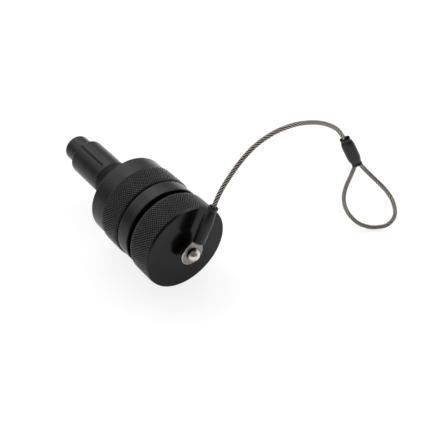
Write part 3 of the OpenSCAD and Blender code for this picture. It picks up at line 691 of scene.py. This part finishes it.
# %% Sleeve on the lug
SLEEVE_SIDES = 64
FOOT_SPREAD = 0.07
FOOT_FADE = 6 * MM
CREASE = 0.035 * MM
CREASE_RUN = 1.5 * MM
CREASES_ROUND = 3
FOLD = 0.5 * MM
FOLD_PLACE = 15.5 * MM
FOLD_RUN = 3 * MM
lug_sleeve_outside = np.array([
    (5.62, 2.02), (5.8, 2.22), (6.6, 2.26), (8.5, 2.28), (10.5, 2.3), (13.5, 2.28), (15, 2.2),
    (16.5, 2.07), (18.2, 1.87), (19.3, 1.7), (19.8, 1.7), (20.25, 1.94), (20.65, 1.98), (20.88, 1.84),
]) * MM
lug_sleeve_inside = np.array([
    (20.84, 1.56), (20.4, 1.4), (19.8, 1.28), (18.9, 0.96), (14.9, 0.96), (13.9, 1.75), (5.62, 1.75),
]) * MM
shrunk_outside = smooth_curve(lug_sleeve_outside, SLEEVE_STEPS)
lug_sleeve_outline = np.concatenate([shrunk_outside, lug_sleeve_inside])
sleeve_angle = ring_angles(SLEEVE_SIDES)
sleeve_along = lug_sleeve_outline[:, :1]
foot_share = np.clip((lug_sleeve_outside[0, 0] + FOOT_FADE - sleeve_along) / FOOT_FADE, 0, 1)
is_outside = (np.arange(len(lug_sleeve_outline)) < len(shrunk_outside))[:, None]
spread = 1 + FOOT_SPREAD * foot_share * np.sin(sleeve_angle) ** 2
crease_round = np.sin(CREASES_ROUND * sleeve_angle + sleeve_along / CREASE_RUN)
crease = CREASE * crease_round * np.sin(sleeve_along / (2 * CREASE_RUN))
fold_share = np.exp(-((sleeve_along - FOLD_PLACE) / FOLD_RUN) ** 2)
fold = FOLD * fold_share * np.maximum(-np.sin(sleeve_angle), 0) ** 2
sleeve_radius = lug_sleeve_outline[:, 1:] * spread + np.where(is_outside, crease + fold, 0)
lug_sleeve_grid = spin(sleeve_along[:, 0], sleeve_radius, SLEEVE_SIDES, sleeve_foot, lug_dir, AXIS_ALONG)
lug_sleeve_mesh = tube_mesh("lug_sleeve_shrunk", lug_sleeve_grid)
add_piece("lug_sleeve_shrunk", lug_sleeve_mesh, "lanyard", "black_sleeve", "lug_sleeve")

# %% [markdown]
# ## Lug
# The lug is a flat steel ring drawn out on one side to its crimp barrel, like a drop with wide shoulders.
# At each angle round the rivet its wall is a rectangle with broken edges between the hole and the drop's
# edge, so the plate is one closed grid: the angle runs one way and the rectangle's outline the other. The
# barrel is a turned tube. The plate's rounded rim is marked as a crest and gets a brighter tone: a painted
# highlight.

# %% Lug
LUG_SIDES = 192
LUG_R = 4.9 * MM
THROAT = 5.5 * MM
THROAT_HALF = 2.6 * MM
BARREL_END = 13.5 * MM
BARREL_ROOT = 0.5 * MM
BARREL_EDGE = 0.1 * MM
HOLE_R = 1.65 * MM
EDGE_R = 0.3 * MM
EDGE_HIGHLIGHT = 0.6
WIDEST_ANGLE = 1.2


def drop_edge(angle):
    """Distance from the rivet to the drop's edge: the circle, or the tangents to the throat outside it."""
    reach = math.hypot(THROAT_HALF, THROAT)
    lean = math.atan2(THROAT_HALF, THROAT) + math.acos(LUG_R / reach)
    off = np.abs((angle + np.pi) % (2 * np.pi) - np.pi)
    tangent = LUG_R / np.cos(np.minimum(np.abs(off - lean), WIDEST_ANGLE))
    top = THROAT / np.cos(np.minimum(off, WIDEST_ANGLE))
    return np.where(off < lean, np.minimum(tangent, top), LUG_R)


half_t = LUG_T / 2
lug_reach = drop_edge(ring_angles(LUG_SIDES))
section = rounded_outline(
    [(HOLE_R, 0), (HOLE_R, -half_t), (LUG_R, -half_t), (LUG_R, half_t), (HOLE_R, half_t), (HOLE_R, 0)],
    EDGE_R,
)[:-1]
outer_half = section[:, :1] > (HOLE_R + LUG_R) / 2
lug_radius = np.where(outer_half, section[:, :1] - LUG_R + lug_reach, section[:, :1])
lug_origin = np.array([lug_x, 0, axis_z])
plate_grid = spin(section[:, 1], lug_radius, LUG_SIDES, lug_origin, AXIS_ALONG, lug_dir)
plate_cells = cells(len(section), LUG_SIDES, close_rows=True).reshape(-1, 4)
barrel_root = THROAT - BARREL_ROOT
barrel_outline = rounded_outline(
    [
        (THROAT, ROPE_R), (barrel_root, ROPE_R), (barrel_root, BARREL_R), (BARREL_END, BARREL_R),
        (BARREL_END, ROPE_R), (THROAT, ROPE_R),
    ],
    BARREL_EDGE,
)[:-1]
barrel_grid = spin(barrel_outline[:, 0], barrel_outline[:, 1:], LUG_SIDES, sleeve_foot, lug_dir, AXIS_ALONG)
barrel_cells = cells(len(barrel_outline), LUG_SIDES, close_rows=True).reshape(-1, 4)
barrel_cells += len(section) * LUG_SIDES
lug_points = np.concatenate([plate_grid, barrel_grid])
# The plate's rounded rim gets a painted highlight, as a crest of this share.
rim_highlight_rows = np.where(section[:, 0] > LUG_R - EDGE_R, EDGE_HIGHLIGHT, 0)
lug_highlight = np.repeat(np.concatenate([rim_highlight_rows, np.zeros(len(barrel_outline))]), LUG_SIDES)
lug_mesh = make_mesh("ring_lug", lug_points, [plate_cells, barrel_cells], lug_highlight)
add_piece("ring_lug", lug_mesh, "lanyard", "bright_steel", "lug")

# %% [markdown]
# ## Rivet
# The rivet's head is half a ball with a short straight foot, on a narrower step that stands just clear of
# the lug, so that the lug can swivel: the gap under the head shows as a dark line. The step and all below
# the dome are marked as no crest and take a nearly black tone, which is painted shade under the head. Its
# outline starts and ends on the axis, where the rings shrink to points.

# %% Rivet
RIVET_SIDES = 96
DOME_STEPS = 28
DOME_R = 2.5 * MM
DOME_H = 2.6 * MM
STEP_R = 2.2 * MM
STEP_H = 0.3 * MM
SHANK_R = 1.6 * MM
TAIL_R = 2.6 * MM
TAIL_H = 1.2 * MM
HEAD_EDGE = 0.05 * MM
LUG_PLAY = 0.1 * MM
rivet_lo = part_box("cap_rivet")[0]
dome_x = bush_hi.x + LUG_T + LUG_PLAY + STEP_H
dome_top = dome_x + DOME_H
tail_x = rivet_lo.x + TAIL_H
dome_angle = np.linspace(0, np.pi / 2, DOME_STEPS)
dome_along = dome_top - DOME_R * (1 - np.cos(dome_angle))
dome_arc = np.stack([dome_along, DOME_R * np.sin(dome_angle)], axis=1)
rivet_edges = np.array([0.12, 0.1, 0.08, 0.08, 0.1, 0.25, 0.25]) * MM
shank = rounded_outline(
    [
        dome_arc[-1], (dome_x, DOME_R), (dome_x, STEP_R), (dome_x - STEP_H, STEP_R),
        (dome_x - STEP_H, SHANK_R), (tail_x, SHANK_R), (tail_x, TAIL_R), (rivet_lo.x, TAIL_R),
        (rivet_lo.x, 0),
    ],
    rivet_edges,
)
rivet_outline = np.concatenate([dome_arc, shank[1:]])
rivet_grid = spin(rivet_outline[:, 0], rivet_outline[:, 1:], RIVET_SIDES)
rivet_cells = cells(len(rivet_outline), RIVET_SIDES).reshape(-1, 4)
# The dome is crest; the step, shank and tail below it take the nearly black tone of painted shade.
rivet_dome_mask = np.where(rivet_outline[:, :1] > dome_x + HEAD_EDGE, 1.0, 0.0)
rivet_dome_mask = np.broadcast_to(rivet_dome_mask, rivet_grid.shape[:2])
rivet_mesh = make_mesh("domed_rivet", rivet_grid, [rivet_cells], rivet_dome_mask)
add_piece("domed_rivet", rivet_mesh, "cap", "bright_steel", "cap_rivet", look="rivet_dome_and_painted_shade")

# %% [markdown]
# ## Diamond knurl
# A knurling tool rolls two crossing sets of grooves into the metal and leaves rows of small pyramids. A
# displacement modifier could raise them, but a grid that has a point on every groove crossing and every tip
# needs far fewer faces. With u counted round the ring and v along it in pitches, the grooves lie where the
# sum or the difference of u and v is whole, and the height is the smaller distance to them. Each cell is
# split along the diagonal that follows a groove.

# %% Knurl functions
KNURLS_ROUND = 96
PER_PITCH = 4
COLUMNS = KNURLS_ROUND * PER_PITCH
KNURL_DEPTH = 0.36 * MM
KNURL_FLAT = 0.85
TIP_HIGHLIGHT_POWER = 2.8
knurl_pitch = 2 * np.pi * rim_r / KNURLS_ROUND


def knurl_rows(start, stop):
    """Places along the axis, four to a pitch, for the whole pitches that come nearest to square diamonds."""
    return np.linspace(start, stop, round((stop - start) / knurl_pitch) * PER_PITCH + 1)


def knurl_height(rows):
    """Height from 0 in a groove to 1 on a tip: the smaller distance to both sets of grooves, cut flat."""
    u = np.arange(COLUMNS)[None, :] / PER_PITCH
    v = np.arange(rows)[:, None] / PER_PITCH
    rising = 1 - np.abs(2 * ((u - v) % 1) - 1)
    falling = 1 - np.abs(2 * ((u + v) % 1) - 1)
    return np.minimum(np.minimum(rising, falling) / KNURL_FLAT, 1)


def knurl_faces(rows, first_row):
    """Triangles of the knurled rows, cut along the rising diagonal where the cell lies on a rising groove."""
    i = np.arange(rows - 1)[:, None]
    j = np.arange(COLUMNS)[None, :]
    return split(cells(rows, COLUMNS), (j - i) % PER_PITCH == 0) + first_row * COLUMNS


print("knurls:", KNURLS_ROUND, "round, pitch in mm:", round(knurl_pitch / MM, 3))

# %% [markdown]
# ## Screw thread
# A thread is a ridge that climbs by its lead in one turn, and this one has two starts, so that the cap
# comes off quickly. A Screw modifier could wind a profile; here the ridge is a wave on the same kind of
# grid as the knurl, so that a bore, its thread and a knurled rim become one closed mesh. A turned piece is
# a list of such parts, joined in the order in which the outline passes them.

# %% Thread and turned pieces
THREAD_LEAD = 2.5 * MM
THREAD_STARTS = 2
THREAD_DEPTH = 0.6 * MM
THREAD_ROWS = 6
THREAD_TURN = np.arange(COLUMNS)[None, :] / COLUMNS


def thread_ridge(place):
    """Right-hand thread: a wave of the place along the axis less the lead for the angle, 1 on the ridge."""
    phase = THREAD_STARTS * (place[:, None] / THREAD_LEAD - THREAD_TURN)
    return 1 - np.abs(2 * (phase % 1) - 1)


def thread_rows(start, stop):
    """Places along a thread, six to a pitch."""
    pitch = THREAD_LEAD / THREAD_STARTS
    return np.linspace(start, stop, round(abs(stop - start) / pitch * THREAD_ROWS) + 1)


def plain_part(outline):
    """Part of a turned piece that has no knurl, from its outline."""
    return outline[:, 0], outline[:, 1:], None


def turned_piece(name, parts, body, node):
    """Closed ring from parts of an outline, each (places, radii, crest): a crest marks a knurled part and
    holds the painted highlight of its tips.
    """
    places = np.concatenate([part[0] for part in parts])
    radii = np.concatenate([np.broadcast_to(part[1], (len(part[0]), COLUMNS)) for part in parts])
    crests = [np.zeros((len(part[0]), COLUMNS)) if part[2] is None else part[2] for part in parts]
    grid = spin(places, radii, COLUMNS)
    quads = cells(len(places), COLUMNS, close_rows=True)
    is_plain = np.ones(len(places), dtype=bool)
    face_sets = []
    row = 0
    for part in parts:
        if part[2] is not None:
            is_plain[row:row + len(part[0]) - 1] = False
            face_sets.append(knurl_faces(len(part[0]), row))
        row += len(part[0])
    face_sets.append(quads[is_plain].reshape(-1, 4))
    mesh = make_mesh(name, grid, face_sets, np.concatenate(crests))
    return add_piece(name, mesh, body, "black_anodised", node)


print("thread pitch in mm:", round(THREAD_LEAD / THREAD_STARTS / MM, 3))

# %% [markdown]
# ## Coupling ring
# The coupling ring turns on the plug's shell and pulls it onto its mate. Outside it has a smooth band, the
# knurled grip, a thin groove and a second smooth band; inside are the thread for the cap, the running bore
# and the recess of the spring clip. The chamfers at the grip's ends cut through the pyramids, so the lower
# of the two radii holds.

# %% Coupling ring
JOIN = 0.02 * MM
BAND_DROP = 0.6 * MM
REAR_BAND = 7.9 * MM
GRIP_LEN = 10.4 * MM
CHAMFER_SLOPE = 2
GROOVE_W = 0.6 * MM
GROOVE_DEPTH = 0.5 * MM
BORE_R = 15.5 * MM
BEARING_R = 12.05 * MM
RECESS_R = 14.4 * MM
RECESS_LEN = 3 * MM
BEARING_LEN = 4 * MM
THREADED_LEN = 8.4 * MM
RUN_OUT = 0.2 * MM
THREAD_GAP = 0.1 * MM
MOUTH_EDGE = 0.4 * MM
FADE = 1.2 * MM
NUT_CUT = 0.42
NUT_FLANK = 0.25
THREAD_ROOM = 0.05 * MM
band_r = rim_r - BAND_DROP
knurl_x = ring_lo.x + REAR_BAND
groove_x = knurl_x + GRIP_LEN
groove_end = groove_x + GROOVE_W
groove_r = band_r - GROOVE_DEPTH
bearing_x = ring_lo.x + RECESS_LEN
bearing_end = bearing_x + BEARING_LEN
thread_end = ring_hi.x - THREADED_LEN
front_edges = np.array([0.08, 0.08, 0.12, 0.4, 0.1]) * MM
rear_edges = np.array([0.15, 0.15, 0.15, 0.15, 0.2, 0.4]) * MM

front_outline = rounded_outline(
    [
        (groove_x, band_r), (groove_x, groove_r), (groove_end, groove_r), (groove_end, band_r),
        (ring_hi.x, band_r), (ring_hi.x, BORE_R + MOUTH_EDGE), (ring_hi.x - MOUTH_EDGE, BORE_R),
    ],
    front_edges,
)
rear_outline = rounded_outline(
    [
        (thread_end - RUN_OUT, BORE_R), (bearing_end, BORE_R), (bearing_end, BEARING_R),
        (bearing_x, BEARING_R), (bearing_x, RECESS_R), (ring_lo.x, RECESS_R), (ring_lo.x, band_r),
        (knurl_x - JOIN, band_r),
    ],
    rear_edges,
)
bore_places = thread_rows(ring_hi.x - MOUTH_EDGE - THREAD_GAP, thread_end)
bore_fade = np.clip((bore_places - thread_end) / FADE, 0, 1)[:, None]
bore_ridge = np.clip((NUT_CUT - thread_ridge(bore_places)) / NUT_FLANK, 0, 1) * bore_fade
grip_places = knurl_rows(knurl_x, groove_x - JOIN)
grip_height = knurl_height(len(grip_places))
grip_chamfer = band_r + np.minimum(grip_places - knurl_x, CHAMFER_SLOPE * (groove_x - grip_places))
grip_radius = np.minimum(grip_chamfer[:, None], rim_r - KNURL_DEPTH * (1 - grip_height))
turned_piece(
    "knurled_ring",
    [
        plain_part(front_outline),
        (bore_places, BORE_R - (THREAD_DEPTH - THREAD_ROOM) * bore_ridge, None),
        plain_part(rear_outline),
        # The grip's knurl tips carry a painted highlight through the crest.
        (grip_places, grip_radius, grip_height ** TIP_HIGHLIGHT_POWER),
    ],
    "coupling_ring", "coupling_ring",
)

# %% [markdown]
# ## Screw cap
# The cap is turned from bar: a knurled rim, a narrow plain bevel where the knurl ends beside the face, and
# a skirt whose thread screws into the coupling ring. The thread's ridges lie between those of the ring and
# stay there when the cap turns, because the joint moves the cap by the same lead.

# %% Screw cap
CAP_LEN = 11.2 * MM
BEVEL_LEN = 1.2 * MM
BEVEL = 0.3 * MM
BACK_EDGE = 0.4 * MM
BACK_STEP = 0.05 * MM
FACE_EDGE = 0.16 * MM
SKIRT_R = 15.3 * MM
SKIRT_BORE = 13.6 * MM
CAP_WALL = 3 * MM
RELIEF = 1.4 * MM
SKIRT_END = 0.5 * MM
BOLT_CUT = 0.35
BOLT_FLANK = 0.3
cap_x = face_x - CAP_LEN
cap_inner = face_x - CAP_WALL
bevel_x = face_x - BEVEL_LEN
root_r = SKIRT_R - THREAD_DEPTH
back_r = rim_r - BACK_EDGE
edge_x = face_x - FACE_EDGE
skirt_x = cap_lo.x + SKIRT_END
relief_x = cap_x - RELIEF
face_edges = np.array([0.1, 0.1, 0.1, 0.5, 0.2, 0.2]) * MM
back_edges = np.array([0.3, 0.001]) * MM


def bevel_radius(place):
    """Radius of the bevel's cone: the rim's radius up to the bevel, then falling evenly to the face."""
    return rim_r - BEVEL * np.maximum(place - bevel_x, 0) / BEVEL_LEN


face_outline = rounded_outline(
    [
        (edge_x, bevel_radius(edge_x)), (face_x, bevel_radius(face_x)), (face_x, HOLE_R),
        (cap_inner, HOLE_R), (cap_inner, SKIRT_BORE), (cap_lo.x, SKIRT_BORE), (cap_lo.x, root_r),
        (skirt_x, root_r),
    ],
    face_edges,
)
skirt_places = thread_rows(skirt_x + THREAD_GAP, relief_x)
skirt_fade = np.clip((skirt_places - skirt_x) / FADE, 0, 1)[:, None]
skirt_ridge = np.clip((thread_ridge(skirt_places) - BOLT_CUT) / BOLT_FLANK, 0, 1) * skirt_fade
back_outline = rounded_outline(
    [
        (relief_x + THREAD_GAP, root_r), (cap_x, root_r), (cap_x, back_r - BACK_STEP), (cap_x + JOIN, back_r),
    ],
    back_edges,
)
rim_places = knurl_rows(cap_x + 2 * JOIN, edge_x - JOIN)
rim_height = knurl_height(len(rim_places))
rim_chamfer = np.minimum(back_r + (rim_places - cap_x), bevel_radius(rim_places))
rim_cut = np.where(rim_places[:, None] > bevel_x, 0, KNURL_DEPTH)
rim_radius = np.minimum(rim_chamfer[:, None], rim_r - rim_cut * (1 - rim_height))
# The knurl tips carry a painted highlight; the plain bevel carries none.
rim_tip_highlight = np.where(rim_cut > 0, rim_height ** TIP_HIGHLIGHT_POWER, 0)
turned_piece(
    "knurled_cap",
    [
        plain_part(face_outline),
        (skirt_places, SKIRT_R - THREAD_DEPTH * (1 - skirt_ridge), None),
        plain_part(back_outline),
        (rim_places, rim_radius, rim_tip_highlight),
    ],
    "cap", "cap",
)

# %% [markdown]
# ## Cable gland
# The gland grips the lead: a turned barrel with a slimmer outlet whose end is well rounded. Two grooves
# with slanted walls run along the barrel, opposite each other, and stop short of a plain collar: a spanner
# holds there. It is a closed outline turned about the axis, and where the grooves lie the lower of the two
# radii holds.

# %% Cable gland
GLAND_SIDES = 288
GLAND_R = 7.9 * MM
OUTLET_R = 5.75 * MM
OUTLET_LEN = 9.3 * MM
GLAND_LEN = 19.5 * MM
COLLAR = 2 * MM
SLIT_W = 1.5 * MM
SLIT_SLOPE = 0.58
SLIT_ANGLE = math.radians(20)
CABLE_R = 3.75 * MM
SPIGOT_R = 6.15 * MM
BORE_JOIN = 3 * MM
gland_lo, gland_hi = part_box("cable_gland")
barrel_start = gland_lo.x + OUTLET_LEN
barrel_stop = barrel_start + GLAND_LEN
slit_end = barrel_stop - COLLAR
bore_join = gland_lo.x + BORE_JOIN
slit_edges = np.array([0.25, 1.15, 0.4, 0.5]) * MM
collar_edges = np.array([0.15, 0.1, 0.25, 0.2]) * MM
slit_outline = rounded_outline(
    [
        (bore_join, CABLE_R), (gland_lo.x, CABLE_R), (gland_lo.x, OUTLET_R), (barrel_start, OUTLET_R),
        (barrel_start, GLAND_R), (slit_end, GLAND_R),
    ],
    slit_edges,
)
collar_outline = rounded_outline(
    [
        (slit_end + JOIN, GLAND_R), (barrel_stop, GLAND_R), (barrel_stop, SPIGOT_R), (gland_hi.x, SPIGOT_R),
        (gland_hi.x, CABLE_R), (bore_join + JOIN, CABLE_R),
    ],
    collar_edges,
)
slit_arc = GLAND_R * ((ring_angles(GLAND_SIDES) - SLIT_ANGLE + np.pi / 2) % np.pi - np.pi / 2)
slit_radius = GLAND_R - SLIT_SLOPE * np.maximum(SLIT_W / 2 - np.abs(slit_arc), 0)
gland_outline = np.concatenate([slit_outline, collar_outline])
gland_radius = np.concatenate([
    np.minimum(slit_outline[:, 1:], slit_radius), np.repeat(collar_outline[:, 1:], GLAND_SIDES, axis=1)
])
gland_mesh = tube_mesh("turned_gland", spin(gland_outline[:, 0], gland_radius, GLAND_SIDES))
add_piece("turned_gland", gland_mesh, "plug", "black_anodised", "cable_gland")

# %% [markdown]
# ## Floor
# The connector lies on a white floor. Plain white would come out grey where little light falls on it, so to
# the camera and in reflections the floor also glows: the glow makes the white, and a matt part keeps the
# connector's shadow. In reflections the matt part weighs more, because polished metal shows how dark a
# floor gets close to what stands on it. All other rays meet a plain matt floor, so that the glow adds no
# light to matt surfaces.

# %% Floor
FLOOR_HALF = 1.5
FLOOR_GLOW = 0.82
FLOOR_SHADE = 0.3
MIRRORED_GLOW = 0.34
MIRRORED_SHADE = 1.0
FLOOR_MATT = (0.8, 0.8, 0.8, 1)
WHITE = (1, 1, 1, 1)
OFF_AND_ON = (0, 1)
floor_mesh = bpy.data.meshes.new("floor")
floor_corners = np.array([(-1, -1, 0), (1, -1, 0), (1, 1, 0), (-1, 1, 0)]) * FLOOR_HALF
floor_mesh.from_pydata(floor_corners.tolist(), [], [(0, 1, 2, 3)])
floor = bpy.data.objects.new("floor", floor_mesh)
bpy.context.scene.collection.objects.link(floor)
floor_material = bpy.data.materials.new("floor_white")
floor_material.use_nodes = True
floor_tree = floor_material.node_tree
floor_tree.nodes.clear()
rays = add_node(floor_tree, "ShaderNodeLightPath").outputs
glossy = rays["Is Glossy Ray"]
straight = {0: rays["Is Camera Ray"], 1: glossy}
seen = add_node(floor_tree, "ShaderNodeMath", straight, operation="MAXIMUM").outputs[0]
through = {0: seen, 1: rays["Is Transmission Ray"]}
seen_all = add_node(floor_tree, "ShaderNodeMath", through, operation="MAXIMUM").outputs[0]
matt = add_node(floor_tree, "ShaderNodeBsdfDiffuse", {"Color": FLOOR_MATT}).outputs[0]
shade = map_range(floor_tree, glossy, OFF_AND_ON, (FLOOR_SHADE, MIRRORED_SHADE))
strength = map_range(floor_tree, glossy, OFF_AND_ON, (FLOOR_GLOW, MIRRORED_GLOW))
soft = add_node(floor_tree, "ShaderNodeBsdfDiffuse", {"Color": shade}).outputs[0]
glow = add_node(floor_tree, "ShaderNodeEmission", {"Color": WHITE, "Strength": strength}).outputs[0]
white = add_node(floor_tree, "ShaderNodeAddShader", {0: soft, 1: glow}).outputs[0]
either = add_node(floor_tree, "ShaderNodeMixShader", {0: seen_all, 1: matt, 2: white}).outputs[0]
add_node(floor_tree, "ShaderNodeOutputMaterial", {"Surface": either})
floor_mesh.materials.append(floor_material)
print("floor:", 2 * FLOOR_HALF, "m wide")

# %% [markdown]
# ## Light
# The light of this soft studio comes from above and gets weaker towards the horizon, and the side where the
# camera stands is dim: this is why bevels that look that way read as dark lines. A few lamps could build
# this; a world whose brightness changes softly with direction gives the same calm reflections with less
# noise, and one lamp adds a highlight along the bands. Camera rays see plain white.

# %% World and lamp
HIGH_SKY = 2.4
LOW_SKY = 0.75
DIM_SHARE = 0.07
LOW_AND_HIGH = (0.3, 0.74)
DIM_FROM_TO = (0.38, 0.54)
TOWARDS_DIM = (0.6, -0.35, 0.72)
world = bpy.data.worlds.new("studio")
bpy.context.scene.world = world
world.use_nodes = True
sky = world.node_tree
sky.nodes.clear()
ray_way = add_node(sky, "ShaderNodeTexCoord").outputs["Generated"]
up = add_node(sky, "ShaderNodeSeparateXYZ", {0: ray_way}).outputs["Z"]
height_light = map_range(sky, up, LOW_AND_HIGH, (LOW_SKY, HIGH_SKY), "SMOOTHSTEP")
side_way = {0: ray_way, 1: TOWARDS_DIM}
towards = add_node(sky, "ShaderNodeVectorMath", side_way, operation="DOT_PRODUCT").outputs["Value"]
dim = map_range(sky, towards, DIM_FROM_TO, (1, DIM_SHARE), "SMOOTHSTEP")
level = add_node(sky, "ShaderNodeMath", {0: height_light, 1: dim}, operation="MULTIPLY").outputs[0]
studio = add_node(sky, "ShaderNodeBackground", {"Color": WHITE, "Strength": level})
plain = add_node(sky, "ShaderNodeBackground", {"Color": WHITE, "Strength": 1.0})
camera_ray = add_node(sky, "ShaderNodeLightPath").outputs["Is Camera Ray"]
shown = add_node(sky, "ShaderNodeMixShader", {0: camera_ray, 1: studio.outputs[0], 2: plain.outputs[0]})
add_node(sky, "ShaderNodeOutputWorld", {"Surface": shown.outputs[0]})

LAMP_SIZE = 0.35
LAMP_POWER = 0.25
LAMP_PLACE = Vector((-0.52, 0.16, 0.74))
LAMP_AIM = Vector((0.0, 0.0, 0.02))
lamp_data = bpy.data.lights.new("softbox", "AREA")
lamp_data.shape = "RECTANGLE"
lamp_data.size = LAMP_SIZE
lamp_data.size_y = LAMP_SIZE
lamp_data.energy = LAMP_POWER
lamp = bpy.data.objects.new("softbox", lamp_data)
lamp.location = LAMP_PLACE
lamp.rotation_euler = (LAMP_AIM - LAMP_PLACE).to_track_quat("-Z", "Y").to_euler()
bpy.context.scene.collection.objects.link(lamp)
print("world from", LOW_SKY, "to", HIGH_SKY, "and one lamp of", LAMP_POWER, "W")
